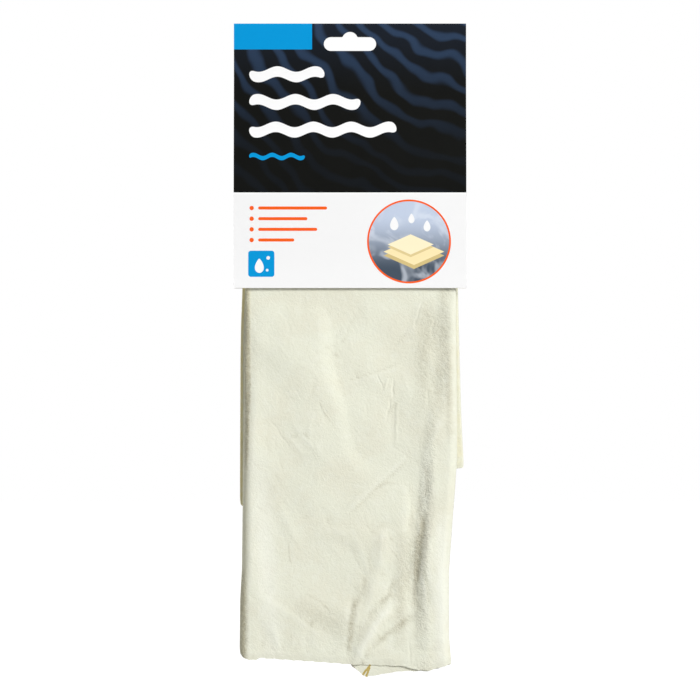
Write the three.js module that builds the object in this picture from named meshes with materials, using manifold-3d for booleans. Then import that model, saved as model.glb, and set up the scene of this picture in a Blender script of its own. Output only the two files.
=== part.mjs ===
// Chamois leather on a folded header card, hanging from the slot in the card.
// Millimetres, +Z up. The front faces -Y. The origin is the top of the slot, where the peg bears,
// half way between the two card panels.

import * as THREE from 'three';
import { mergeVertices } from 'three/addons/utils/BufferGeometryUtils.js';
import Module from 'manifold-3d';

const wasm = await Module();
wasm.setup();

// Header card: one board creased at the top, with a panel in front and one behind
const cardWidth = 142;
const cardHeight = 162;
const boardThickness = 0.45;
const creaseAboveBearing = 5.2;
const panelGapAtSlot = 0.8;
const creaseSplit = 0.3;
const flatBelowBearing = 20;
const foldTopMargin = 2;
const panelToHideClearance = 0.4;

// Hanging slot, a stadium with a round bump in its upper side
const slotLength = 32;
const slotHeight = 8.5;
const bumpRadius = 4.8;
const bumpRise = 3.2;
const bumpFillet = 1;

// Hide, folded in three lengthwise and once across inside the card
const hideThickness = 1.1;
const layerGap = 0.4;
const acrossFoldGap = 0.6;
const foldTopAboveEdge = 54;
const flapSetback = 4;
const innerEdgeClearance = 0.6;
const flapShortfall = 5;
const leafTopGap = 0.3;

// Front leaf, measured from the card's lower edge to the tip of its raw edge
const frontLeafLength = 237;
const frontLeafHalfWidth = 65;
const frontSwell = 3.4;
const frontEdgeFade = 18;
const frontSwellRunIn = 70;

// Rear leaf, behind it and shorter
const rearLeafLength = 134;
const rearLeafHalfWidth = 68;
const rearSwell = 2.2;
const rearEdgeFade = 16;
const rearSwellRunIn = 45;

// Two staples, driven from behind and clinched on the hide under the front panel
const stapleInset = 36;
const stapleAboveEdge = 30;
const crownLength = 12;
const wireThickness = 0.5;
const wireWidth = 0.7;
const clinchLength = 4.2;
const stapleClearance = 0.3;

// Two glue spots that close the card beside the slot
const glueInset = 25;
const glueBelowBearing = 7;
const glueRadius = 5;
const glueThickness = 0.5;
const glueRimShare = 0.86;

// One overrun serves all cuts
const cutOverrun = 2;

// Where things come to lie
const cardTop = creaseAboveBearing;
const cardBottom = cardTop - cardHeight;
const halfPack = acrossFoldGap / 2 + 3 * hideThickness + 2 * layerGap;
const panelInner = halfPack + panelToHideClearance;
const panelOuter = panelInner + boardThickness;
const stapleHeight = cardBottom + stapleAboveEdge;
const staplePitch = cardWidth - 2 * stapleInset;
const gluePitch = cardWidth - 2 * glueInset;
const clinchOuter = panelInner - stapleClearance;

// Outlines as shares of the leaf they belong to: across from left (0) to right (1), down from the
// card's edge (0) to the tip (1), and the two side edges in half widths from the middle
const frontOutline = {
  leftShares: [[0, -0.983], [0.57, -1.009], [0.73, -1.017], [0.8, -1.032], [0.93, -1.037], [1, -1.037]],
  rightShares: [[0, 0.995], [0.43, 1.006], [0.52, 0.986], [0.66, 0.948], [0.73, 0.929], [0.89, 0.929],
    [0.97, 0.952], [1, 0.952]],
  bottomShares: [[0, 0.94], [0.043, 0.956], [0.095, 0.949], [0.474, 0.964], [0.521, 0.966], [0.592, 1],
    [0.673, 0.992], [0.758, 0.984], [0.891, 0.983], [0.948, 0.974], [1, 0.966]],
};
const rearOutline = {
  leftShares: [[0, -0.97], [0.2, -0.987], [0.9, -0.991], [1, -0.975]],
  rightShares: [[0, 0.974], [0.28, 0.987], [0.6, 1.005], [1, 1.026]],
  bottomShares: [[0, 0.99], [0.02, 1], [0.3, 0.955], [0.65, 0.89], [1, 0.817]],
};

// Main folds: a route in half widths across and leaf lengths down, the rise as a share of the
// leaf's swell and the width as a share of its half width
const frontFolds = [
  { routeShares: [[0.71, 0.46], [0.71, 0.54], [0.63, 0.66], [0.63, 0.75], [0.71, 0.8], [0.71, 0.87]],
    riseShare: -0.6, widthShare: 0.085 },
  { routeShares: [[0.87, 0.5], [0.85, 0.82]], riseShare: 0.3, widthShare: 0.1 },
  { routeShares: [[0.572, 0.428], [-0.066, 0.59]], riseShare: 0.3, widthShare: 0.08 },
  { routeShares: [[0.07, 0.945], [0.26, 0.86], [0.5, 0.785]], riseShare: 0.5, widthShare: 0.08 },
  { routeShares: [[0.22, 0.94], [0.48, 0.87], [0.6, 0.84]], riseShare: -0.45, widthShare: 0.07 },
  { routeShares: [[-0.2, 0.08], [-0.22, 0.19], [-0.13, 0.28], [0.03, 0.4]], riseShare: 0.3, widthShare: 0.13 },
];
const rearFolds = [
  { routeShares: [[-0.55, 0.3], [-0.35, 0.62], [-0.45, 0.9]], riseShare: -0.5, widthShare: 0.12 },
  { routeShares: [[0.15, 0.12], [0.3, 0.8]], riseShare: 0.4, widthShare: 0.14 },
  { routeShares: [[0.7, 0.25], [0.55, 0.75]], riseShare: -0.45, widthShare: 0.1 },
];

// Lines of the grids, as shares of the width or length that they divide
const leafColumnShares = [0.06, 0.14, 0.24, 0.34, 0.44, 0.52, 0.6, 0.67, 0.74, 0.79, 0.83, 0.87, 0.91, 0.96];
const rearColumnShares = [0.08, 0.17, 0.27, 0.37, 0.47, 0.57, 0.67, 0.77, 0.86, 0.94];
const gripColumnShares = [0.25, 0.5, 0.75];
const flapColumnShares = [0.5];
const frontRows = 18;
const rearRows = 12;
const gripRows = 2;
const wrapSteps = 8;
const wideFoldSteps = 6;
const tightFoldSteps = 4;
const creaseSteps = 5;
const bendSteps = 14;
const arcSegments = 12;
const glueSides = 28;

// A table of shares read at one place, with straight lines between its entries
function readShares(table, at) {
  const next = table.findIndex(([place]) => place >= at);
  if (next === 0) return table[0][1];
  if (next < 0) return table[table.length - 1][1];
  const [a, valueA] = table[next - 1];
  const [b, valueB] = table[next];
  return THREE.MathUtils.mapLinear(at, a, b, valueA, valueB);
}

// Distance from a point to a route of straight stretches
function distanceToRoute(route, point) {
  const nearest = new THREE.Vector3();
  const stretches = route.slice(1).map((end, i) => new THREE.Line3(route[i], end));
  return Math.min(...stretches.map((stretch) => stretch.closestPointToPoint(point, true, nearest).distanceTo(point)));
}

// A closed geometry from rings of a thick folded line: the first half of each ring runs along one
// face of the leather and the second half comes back along the other
function loftSheet(rings) {
  const size = rings[0].length;
  const half = size / 2;
  const index = [];
  const quad = (a, b, c, d) => index.push(a, b, c, a, c, d);
  for (let k = 0; k < rings.length - 1; k++) {
    for (let i = 0; i < size; i++) {
      const j = (i + 1) % size;
      quad(k * size + i, k * size + j, (k + 1) * size + j, (k + 1) * size + i);
    }
  }
  const last = (rings.length - 1) * size;
  for (let i = 0; i < half - 1; i++) {
    quad(i + 1, i, size - 1 - i, size - 2 - i);
    quad(last + i, last + i + 1, last + size - 2 - i, last + size - 1 - i);
  }
  const geometry = new THREE.BufferGeometry().setFromPoints(rings.flat());
  geometry.setIndex(index);
  return facingOut(geometry);
}

// Turns the faces round when they point inwards
function facingOut(geometry) {
  const position = geometry.getAttribute('position');
  const index = geometry.getIndex().array;
  const corner = (i) => new THREE.Vector3().fromBufferAttribute(position, index[i]);
  let volume = 0;
  for (let i = 0; i < index.length; i += 3) volume += corner(i).dot(corner(i + 1).cross(corner(i + 2)));
  if (volume < 0) {
    for (let i = 0; i < index.length; i += 3) [index[i], index[i + 1]] = [index[i + 1], index[i]];
  }
  geometry.computeVertexNormals();
  return geometry;
}

function toSolid(geometry) {
  const plain = geometry.clone();
  plain.deleteAttribute('normal');
  plain.deleteAttribute('uv');
  const merged = mergeVertices(plain);
  const vertProperties = new Float32Array(merged.getAttribute('position').array);
  const triVerts = new Uint32Array(merged.getIndex().array);
  return new wasm.Manifold(new wasm.Mesh({ numProp: 3, vertProperties, triVerts }));
}

function toGeometry(solid) {
  const mesh = solid.getMesh();
  const geometry = new THREE.BufferGeometry();
  geometry.setAttribute('position', new THREE.BufferAttribute(mesh.vertProperties, 3));
  geometry.setIndex(new THREE.BufferAttribute(mesh.triVerts, 1));
  geometry.computeVertexNormals();
  return geometry;
}

function cut(geometry, cutters) {
  const solid = cutters.reduce((left, cutter) => left.subtract(toSolid(cutter)), toSolid(geometry));
  return toGeometry(solid);
}

// A box from its lowest to its highest corner
function boxBetween(low, high) {
  const size = high.clone().sub(low);
  const middle = high.clone().add(low).multiplyScalar(0.5);
  return new THREE.BoxGeometry(size.x, size.y, size.z).translate(middle.x, middle.y, middle.z);
}

// The hide's section, folded in three: the middle third outermost, the right third folded behind
// it and the left third folded over that. Each point has its place across, its inset from the
// folded edge, its depth behind the outer face and the direction of the leather's outer side.
function foldedSection(columnShares) {
  const half = hideThickness / 2;
  const pitch = hideThickness + layerGap;
  const depths = [half, half + pitch, half + 2 * pitch];
  const wideInset = pitch + half;
  const tightInset = -(pitch / 2 + half);
  const points = [];
  const add = (across, inset, depth, outX, outDepth, skin = false) => {
    points.push({ across, inset, depth, outX, outDepth, skin });
  };
  const addFold = (across, inset, middle, radius, from, steps) => {
    for (let i = 0; i <= steps; i++) {
      const angle = from + (Math.PI * i) / steps;
      const [outX, outDepth] = [Math.cos(angle), Math.sin(angle)];
      add(across, inset + radius * outX, middle + radius * outDepth, outX, outDepth);
    }
  };
  const flapShares = [...flapColumnShares].reverse();
  add(1, -flapSetback, depths[2], 0, 1);
  flapShares.forEach((share) => add(share, 0, depths[2], 0, 1));
  addFold(0, wideInset, depths[1], pitch, Math.PI / 2, wideFoldSteps);
  columnShares.forEach((share) => add(share, 0, depths[0], 0, -1, true));
  addFold(1, tightInset, (depths[0] + depths[1]) / 2, pitch / 2, -Math.PI / 2, tightFoldSteps);
  flapShares.forEach((share) => add(share, 0, depths[1], 0, 1));
  add(0, wideInset + innerEdgeClearance, depths[1], 0, 1);
  return points;
}

// One ring round the folded section, placed by a function of across, inset and depth
function ringOf(section, place) {
  const half = hideThickness / 2;
  const side = (point, sign) => place({
    ...point,
    inset: point.inset + sign * half * point.outX,
    depth: point.depth + sign * half * point.outDepth,
  });
  const outer = section.map((point) => side(point, 1));
  const inner = section.map((point) => side(point, -1)).reverse();
  return [...outer, ...inner];
}

// How far a leaf's outer layer stands out at a place, from its swell and its main folds
function standOut(leaf, x, down, left, right) {
  const edge = Math.min(x - left, right - x);
  const fade = THREE.MathUtils.smoothstep(edge, 0, leaf.edgeFade);
  const runIn = THREE.MathUtils.smoothstep(down * leaf.length, 0, leaf.swellRunIn);
  const here = new THREE.Vector3(x, -down * leaf.length, 0);
  const folds = leaf.folds.reduce((sum, fold) => {
    const route = fold.routeShares.map(([across, drop]) => {
      return new THREE.Vector3(across * leaf.halfWidth, -drop * leaf.length, 0);
    });
    const away = distanceToRoute(route, here) / (fold.widthShare * leaf.halfWidth);
    return sum + fold.riseShare * Math.exp(-away * away);
  }, 1);
  return leaf.swell * fade * runIn * Math.max(folds, 0);
}

// A leaf of the hide that hangs below the card; facing is -1 in front and 1 behind
function leafGeometry(leaf) {
  const section = foldedSection(leaf.columnShares);
  const top = cardBottom - leafTopGap;
  const rings = [];
  for (let row = 0; row <= leaf.rows; row++) {
    const share = row / leaf.rows;
    rings.push(ringOf(section, ({ across, inset, depth, skin }) => {
      const shortfall = (flapShortfall * depth) / halfPack / leaf.length;
      const down = share * (readShares(leaf.outline.bottomShares, across) - shortfall);
      const left = leaf.halfWidth * readShares(leaf.outline.leftShares, down);
      const right = leaf.halfWidth * readShares(leaf.outline.rightShares, down);
      const x = THREE.MathUtils.lerp(left, right, across) + inset;
      const proud = skin ? standOut(leaf, x, down, left, right) : 0;
      return new THREE.Vector3(x, leaf.facing * (halfPack - depth + proud), top - down * leaf.length);
    }));
  }
  return loftSheet(rings);
}

const frontLeaf = {
  facing: -1, length: frontLeafLength, halfWidth: frontLeafHalfWidth, swell: frontSwell,
  edgeFade: frontEdgeFade, swellRunIn: frontSwellRunIn, outline: frontOutline, folds: frontFolds,
  columnShares: leafColumnShares, rows: frontRows,
};
const rearLeaf = {
  facing: 1, length: rearLeafLength, halfWidth: rearLeafHalfWidth, swell: rearSwell,
  edgeFade: rearEdgeFade, swellRunIn: rearSwellRunIn, outline: rearOutline, folds: rearFolds,
  columnShares: rearColumnShares, rows: rearRows,
};

// The stretch of the hide inside the card, up in front, over the fold and down behind
function gripGeometry() {
  const section = foldedSection(gripColumnShares);
  const wrapMiddle = cardBottom + foldTopAboveEdge - halfPack;
  const stations = [];
  for (let i = 0; i < gripRows; i++) {
    stations.push({ angle: 0, z: THREE.MathUtils.lerp(cardBottom, wrapMiddle, i / gripRows) });
  }
  for (let i = 0; i <= wrapSteps; i++) stations.push({ angle: (Math.PI * i) / wrapSteps, z: wrapMiddle });
  for (let i = gripRows - 1; i >= 0; i--) {
    stations.push({ angle: Math.PI, z: THREE.MathUtils.lerp(cardBottom, wrapMiddle, i / gripRows) });
  }
  const edgeAt = (side, share) => THREE.MathUtils.lerp(
    frontLeafHalfWidth * frontOutline[side][0][1],
    rearLeafHalfWidth * rearOutline[side][0][1],
    share,
  );
  const rings = stations.map(({ angle, z }) => ringOf(section, ({ across, inset, depth }) => {
    const share = angle / Math.PI;
    const left = edgeAt('leftShares', share);
    const right = edgeAt('rightShares', share);
    const radius = halfPack - depth;
    const x = THREE.MathUtils.lerp(left, right, across) + inset;
    return new THREE.Vector3(x, -radius * Math.cos(angle), z + radius * Math.sin(angle));
  }));
  return cut(loftSheet(rings), stapleCutters());
}

// The card panel's middle line from the crease down, as distances from the mid-plane and heights
function panelLine() {
  const half = boardThickness / 2;
  const creaseRadius = panelGapAtSlot / 2 + half;
  const creaseMiddle = cardTop - half - creaseRadius;
  const start = Math.PI / 2 - Math.asin(creaseSplit / panelGapAtSlot);
  const line = [];
  for (let i = 0; i < creaseSteps; i++) {
    const angle = start * (1 - i / creaseSteps);
    line.push(new THREE.Vector2(creaseRadius * Math.cos(angle), creaseMiddle + creaseRadius * Math.sin(angle)));
  }
  line.push(new THREE.Vector2(creaseRadius, creaseMiddle));
  const bendTop = -flatBelowBearing;
  const bendFoot = cardBottom + foldTopAboveEdge + foldTopMargin;
  for (let i = 0; i <= bendSteps; i++) {
    const share = i / bendSteps;
    const out = THREE.MathUtils.lerp(creaseRadius, panelInner + half, THREE.MathUtils.smoothstep(share, 0, 1));
    line.push(new THREE.Vector2(out, THREE.MathUtils.lerp(bendTop, bendFoot, share)));
  }
  line.push(new THREE.Vector2(panelInner + half, cardBottom));
  return line;
}

// A panel's outline: its middle line moved half a board out, and back half a board in
function panelShape() {
  const line = panelLine();
  const moved = (distance) => line.map((point, i) => {
    const before = line[Math.max(i - 1, 0)];
    const after = line[Math.min(i + 1, line.length - 1)];
    const along = after.clone().sub(before).normalize();
    return new THREE.Vector2(point.x - along.y * distance, point.y + along.x * distance);
  });
  const half = boardThickness / 2;
  const outline = [...moved(half), ...moved(-half).reverse()];
  outline.forEach((point) => {
    if (point.y < cardBottom + half) point.y = cardBottom;
  });
  return new THREE.Shape(outline);
}

// The hanging slot's outline, centred on the card, with the bearing point at height 0
function slotShape() {
  const endRadius = slotHeight / 2;
  const endMiddle = slotLength / 2 - endRadius;
  const upperSide = -bumpRise;
  const middle = upperSide - endRadius;
  const filletRise = bumpRadius - bumpRise + bumpFillet;
  const filletX = Math.sqrt((bumpRadius + bumpFillet) ** 2 - filletRise ** 2);
  const filletZ = upperSide + bumpFillet;
  const tilt = Math.atan2(filletRise, filletX);
  const shape = new THREE.Shape();
  shape.moveTo(-endMiddle, middle - endRadius);
  shape.lineTo(endMiddle, middle - endRadius);
  shape.absarc(endMiddle, middle, endRadius, -Math.PI / 2, Math.PI / 2, false);
  shape.lineTo(filletX, upperSide);
  shape.absarc(filletX, filletZ, bumpFillet, -Math.PI / 2, tilt - Math.PI, true);
  shape.absarc(0, -bumpRadius, bumpRadius, tilt, Math.PI - tilt, false);
  shape.absarc(-filletX, filletZ, bumpFillet, -tilt, -Math.PI / 2, true);
  shape.lineTo(-endMiddle, upperSide);
  shape.absarc(-endMiddle, middle, endRadius, Math.PI / 2, (3 * Math.PI) / 2, false);
  return shape;
}

function slotCutter() {
  const depth = 2 * (panelOuter + cutOverrun);
  const geometry = new THREE.ExtrudeGeometry(slotShape(), { depth, bevelEnabled: false, curveSegments: arcSegments });
  const turn = new THREE.Matrix4().makeBasis(
    new THREE.Vector3(1, 0, 0), new THREE.Vector3(0, 0, 1), new THREE.Vector3(0, -1, 0),
  );
  return geometry.applyMatrix4(turn).translate(0, depth / 2, 0);
}

// Clearance holes for the staples' legs and a shallow channel where their points press in
function stapleCutters() {
  const legOut = crownLength / 2 + stapleClearance;
  const legIn = crownLength / 2 - wireThickness - stapleClearance;
  const rise = wireWidth / 2 + stapleClearance;
  const reach = panelOuter + cutOverrun;
  const floor = -(clinchOuter - wireThickness - stapleClearance);
  return [-staplePitch / 2, staplePitch / 2].flatMap((x) => [
    boxBetween(
      new THREE.Vector3(x - legOut, -reach, stapleHeight - rise),
      new THREE.Vector3(x + legOut, floor, stapleHeight + rise),
    ),
    ...[-1, 1].map((side) => boxBetween(
      new THREE.Vector3(x + Math.min(side * legOut, side * legIn), -reach, stapleHeight - rise),
      new THREE.Vector3(x + Math.max(side * legOut, side * legIn), reach, stapleHeight + rise),
    )),
  ]);
}

// A card panel; facing is -1 in front and 1 behind
function panelGeometry(facing) {
  const geometry = new THREE.ExtrudeGeometry(panelShape(), { depth: cardWidth, bevelEnabled: false });
  const turn = new THREE.Matrix4().makeBasis(
    new THREE.Vector3(0, 1, 0), new THREE.Vector3(0, 0, 1), new THREE.Vector3(1, 0, 0),
  );
  geometry.applyMatrix4(turn).translate(-cardWidth / 2, 0, 0);
  if (facing < 0) geometry.rotateZ(Math.PI);
  const stapled = facing > 0 ? stapleCutters() : [];
  return cut(geometry, [slotCutter(), ...stapled]);
}

// A staple of flat wire: crown on the rear panel, legs through, points clinched towards each other
function stapleGeometry() {
  const out = crownLength / 2;
  const inside = out - wireThickness;
  const point = out - clinchLength;
  const back = panelOuter + wireThickness;
  const front = -clinchOuter;
  const seat = front + wireThickness;
  const outline = [
    [-out, back], [-out, front], [-point, front], [-point, seat], [-inside, seat], [-inside, panelOuter],
    [inside, panelOuter], [inside, seat], [point, seat], [point, front], [out, front], [out, back],
  ];
  const shape = new THREE.Shape(outline.map(([x, y]) => new THREE.Vector2(x, y)));
  const geometry = new THREE.ExtrudeGeometry(shape, { depth: wireWidth, bevelEnabled: false });
  return geometry.translate(0, 0, -wireWidth / 2);
}

// A flattened drop of glue with its flat side on the rear panel
function glueGeometry() {
  const profile = [
    new THREE.Vector2(0, 0),
    new THREE.Vector2(glueRadius, 0),
    new THREE.Vector2(glueRadius * glueRimShare, glueThickness),
    new THREE.Vector2(0, glueThickness),
  ];
  return new THREE.LatheGeometry(profile, glueSides).rotateX(Math.PI);
}

const printedBoard = { color: 0x1d2429, roughness: 0.45, metalness: 0 };
const plainBoard = { color: 0xf1f1ee, roughness: 0.6, metalness: 0 };
const chamois = { color: 0xe8e8d7, roughness: 0.95, metalness: 0 };
const steel = { color: 0xb9bcc0, roughness: 0.35, metalness: 1 };
const glue = { color: 0xe6dfc3, roughness: 0.4, metalness: 0 };

function named(name, geometry, finish) {
  const mesh = new THREE.Mesh(geometry, new THREE.MeshStandardMaterial(finish));
  mesh.name = name;
  return mesh;
}

const card = new THREE.Group();
card.add(named('card_front_panel', panelGeometry(-1), printedBoard));
card.add(named('card_rear_panel', panelGeometry(1), plainBoard));

const hide = new THREE.Group();
hide.add(named('hide_gripped_fold', gripGeometry(), chamois));
hide.add(named('hide_front_leaf', leafGeometry(frontLeaf), chamois));
hide.add(named('hide_rear_leaf', leafGeometry(rearLeaf), chamois));

const fastenings = new THREE.Group();
[['left', -1], ['right', 1]].forEach(([side, sign]) => {
  const staple = named(`staple_${side}`, stapleGeometry(), steel);
  staple.position.set((sign * staplePitch) / 2, 0, stapleHeight);
  const spot = named(`glue_spot_${side}`, glueGeometry(), glue);
  spot.position.set((sign * gluePitch) / 2, panelGapAtSlot / 2, -glueBelowBearing);
  fastenings.add(staple, spot);
});

const part = new THREE.Group();
part.add(card, hide, fastenings);

export default part;
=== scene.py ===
"""Chamois leather hanging in a folded header card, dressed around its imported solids."""
import logging
import math
from contextlib import contextmanager
from dataclasses import dataclass, field
from enum import Enum
from functools import cached_property
from typing import ClassVar, Iterator, Sequence

import bmesh
import bpy
import numpy as np
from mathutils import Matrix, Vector


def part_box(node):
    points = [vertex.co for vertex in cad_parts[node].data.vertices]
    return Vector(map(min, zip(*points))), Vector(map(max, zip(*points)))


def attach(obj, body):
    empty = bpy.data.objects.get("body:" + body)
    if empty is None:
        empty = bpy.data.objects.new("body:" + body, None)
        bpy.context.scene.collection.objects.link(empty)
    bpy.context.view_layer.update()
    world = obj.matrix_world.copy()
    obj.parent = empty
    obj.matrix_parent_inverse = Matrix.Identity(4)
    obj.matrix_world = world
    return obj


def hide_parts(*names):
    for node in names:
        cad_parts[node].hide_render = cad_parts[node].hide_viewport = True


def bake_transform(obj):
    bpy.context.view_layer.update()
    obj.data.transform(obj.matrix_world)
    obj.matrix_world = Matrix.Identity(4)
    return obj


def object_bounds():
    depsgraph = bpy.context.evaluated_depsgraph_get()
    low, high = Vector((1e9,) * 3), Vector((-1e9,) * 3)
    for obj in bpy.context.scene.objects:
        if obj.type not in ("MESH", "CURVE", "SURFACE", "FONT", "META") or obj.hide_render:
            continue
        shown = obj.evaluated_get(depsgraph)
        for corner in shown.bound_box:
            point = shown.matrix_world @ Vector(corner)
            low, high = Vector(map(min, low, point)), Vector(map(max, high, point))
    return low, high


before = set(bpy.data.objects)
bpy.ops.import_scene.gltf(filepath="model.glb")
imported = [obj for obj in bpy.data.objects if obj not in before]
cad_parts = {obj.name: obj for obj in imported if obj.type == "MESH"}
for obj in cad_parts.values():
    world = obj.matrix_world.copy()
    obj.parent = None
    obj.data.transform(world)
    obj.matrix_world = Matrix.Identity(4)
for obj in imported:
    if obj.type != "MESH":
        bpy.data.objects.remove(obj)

CAD_BOX = [list(corner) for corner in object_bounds()]
LOG = logging.getLogger("chamois")
MM = 0.001

# Vectors stored on the points: the place at rest, the place on the flat skin, and how hollow,
# how far raised and how far turned over the skin is there, which lead painted shade and light.
REST = "rest_mm"
LIE = "hide_mm"
HOLLOW = "hollow"

Colour = tuple[float, float, float]
Point = tuple[float, float]
Place = tuple[float, float, float]
Socket = bpy.types.NodeSocket
Material = bpy.types.Material
Mesh = bpy.types.Mesh
Piece = bpy.types.Object
Shape = bmesh.types.BMesh
Array = np.ndarray


def srgb(*channels: float) -> Colour:
    """Turn a colour seen on a screen, with channels from 0 to 255, into a linear one."""
    shares = (value / 255 for value in channels)
    return tuple(s / 12.92 if s <= 0.04045 else ((s + 0.055) / 1.055) ** 2.4 for s in shares)


def smooth(values: Array, low: float, high: float) -> Array:
    """Ease numbers from 0 at low to 1 at high, which may also be the smaller of the two."""
    share = np.clip((values - low) / (high - low), 0, 1)
    return share * share * (3 - 2 * share)


def along(places: Sequence[Point], at: Array) -> Array:
    """Read a line of (place, value) points, in rising order of place, at many places."""
    return np.interp(at, *zip(*places))


class Shader:
    """A material's or a world's nodes, with short calls for those that this object needs."""

    usual_noise: ClassVar[Point] = (0.3, 0.7)

    def __init__(self, name: str, kept_in: str = "materials") -> None:
        """Start with no nodes.

        Args:
            name: The material's or the world's name.
            kept_in: Which of Blender's data it is added to.
        """
        self.owner = getattr(bpy.data, kept_in).new(name)
        self.owner.use_nodes = True
        self.tree = self.owner.node_tree
        self.tree.nodes.clear()

    def feed(self, socket: Socket, value: object) -> None:
        """Link a socket to another, or set its value.

        Args:
            socket: The input.
            value: An output socket, a number, a vector or a colour.
        """
        if isinstance(value, Socket):
            self.tree.links.new(value, socket)
        elif socket.type == "RGBA":
            socket.default_value = (*value, 1)
        else:
            socket.default_value = value

    def node(self, kind: str, *values: object, **settings: object) -> bpy.types.Node:
        """Add a node and feed its first inputs.

        Args:
            kind: The node type's identifier.
            values: What its inputs are fed, in order.
            settings: Properties to set on it.

        Returns:
            The node.
        """
        made = self.tree.nodes.new(kind)
        for key, value in settings.items():
            setattr(made, key, value)
        for socket, value in zip(made.inputs, values):
            self.feed(socket, value)
        return made

    def math(self, operation: str, *values: object, clamp: bool = False) -> Socket:
        """Work out a number.

        The math node's own clamp isn't used: Cycles works such clamps out last, which keeps too
        many values waiting in a large material. A clamp node straight after it doesn't wait.

        Args:
            operation: The math node's operation.
            values: Its inputs.
            clamp: Whether to keep the result from 0 to 1.

        Returns:
            The result's socket.
        """
        made = self.node("ShaderNodeMath", *values, operation=operation).outputs[0]
        return self.node("ShaderNodeClamp", made).outputs[0] if clamp else made

    def vector(self, operation: str, *values: object) -> Socket:
        """Work out a vector, or a length or a dot product of vectors.

        Args:
            operation: The vector math node's operation.
            values: Its inputs.

        Returns:
            The result's socket.
        """
        made = self.node("ShaderNodeVectorMath", *values, operation=operation)
        return made.outputs["Value" if operation in ("LENGTH", "DOT_PRODUCT") else "Vector"]

    def attribute(self, name: str) -> Socket:
        """Read a vector stored on the piece's points."""
        return self.node("ShaderNodeAttribute", attribute_name=name).outputs["Vector"]

    def split(self, vector: object) -> tuple[Socket, ...]:
        """Take a vector apart into its three parts."""
        return tuple(self.node("ShaderNodeSeparateXYZ", vector).outputs)

    def join(self, x: object, y: object, z: object = 0.0) -> Socket:
        """Put a vector together from its three parts."""
        return self.node("ShaderNodeCombineXYZ", x, y, z).outputs[0]

    def spread(self, value: object, low: float, high: float, to_low: float = 0.0,
               to_high: float = 1.0, kind: str = "SMOOTHSTEP") -> Socket:
        """Map a number from one range to another, and hold it at the ends.

        Args:
            value: The number.
            low, high: The range it comes from.
            to_low, to_high: The range it goes to.
            kind: How it eases between them. A smooth step holds itself at the ends.

        Returns:
            The result's socket.
        """
        return self.node("ShaderNodeMapRange", value, low, high, to_low, to_high,
                        interpolation_type=kind, clamp=kind == "LINEAR").outputs[0]

    def mix(self, share: object, first: object, second: object) -> Socket:
        """Mix two colours.

        Args:
            share: How much of the second.
            first, second: The colours.

        Returns:
            The mixed colour's socket.
        """
        made = self.node("ShaderNodeMix", data_type="RGBA", clamp_factor=True)
        for key, value in (("Factor", share), (6, first), (7, second)):
            self.feed(made.inputs[key], value)
        return made.outputs[2]

    def noise(self, at: object, size: float, detail: float = 2.0, rough: float = 0.5,
              warp: float = 0.0) -> Socket:
        """Add soft noise.

        Args:
            at: Where it is read, in millimetres.
            size: The size of its spots in millimetres.
            detail: How many finer layers it has.
            rough: How strong they are.
            warp: How far it is warped.

        Returns:
            The noise from 0 to 1.
        """
        made = self.node("ShaderNodeTexNoise")
        for key, value in (("Vector", at), ("Scale", 1 / size), ("Detail", detail),
                           ("Roughness", rough), ("Distortion", warp)):
            self.feed(made.inputs[key], value)
        return made.outputs[0]

    def sideways(self, x: object, z: object, noise: object, reach: float) -> Socket:
        """Move places sideways by a noise, up to half of the reach either way.

        Args:
            x, z: The places.
            noise: What moves them.
            reach: How far its whole range moves them.

        Returns:
            The moved places.
        """
        start = self.math("SUBTRACT", x, reach / 2)
        return self.join(self.math("MULTIPLY_ADD", noise, reach, start), z)

    def roughened(self, pattern: object, low: float, high: float) -> Socket:
        """Turn a noise into a roughness between two values."""
        return self.spread(pattern, *self.usual_noise, low, high, "LINEAR")

    def by_camera(self, share: float, lit: bpy.types.Node, seen: bpy.types.Node,
                  output: str) -> None:
        """Finish with one look for the light and another that the camera sees.

        Args:
            share: How much the camera sees of its own look.
            lit, seen: The two looks.
            output: The output node's identifier.
        """
        ray = self.node("ShaderNodeLightPath").outputs["Is Camera Ray"]
        factor = self.math("MULTIPLY", ray, share)
        mix = self.node("ShaderNodeMixShader", factor, lit.outputs[0], seen.outputs[0])
        self.node(output, mix.outputs[0])

    def surface(self, colour: object, roughness: object, height: object, bump: float,
                **uniform: float) -> Material:
        """Finish the material with one principled shader.

        Args:
            colour: Base colour.
            roughness: Roughness.
            height: What the bump reads, in millimetres.
            bump: How strongly the bump shows.
            uniform: Other sockets by name, with spaces as underscores.

        Returns:
            The material.
        """
        shader = self.node("ShaderNodeBsdfPrincipled", colour)
        self.feed(shader.inputs["Roughness"], roughness)
        for key, value in uniform.items():
            shader.inputs[key.replace("_", " ")].default_value = value
        raised = self.node("ShaderNodeBump")
        for key, value in (("Strength", bump), ("Distance", MM), ("Height", height)):
            self.feed(raised.inputs[key], value)
        self.feed(shader.inputs["Normal"], raised.outputs[0])
        self.node("ShaderNodeOutputMaterial", shader.outputs[0])
        return self.owner


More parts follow.
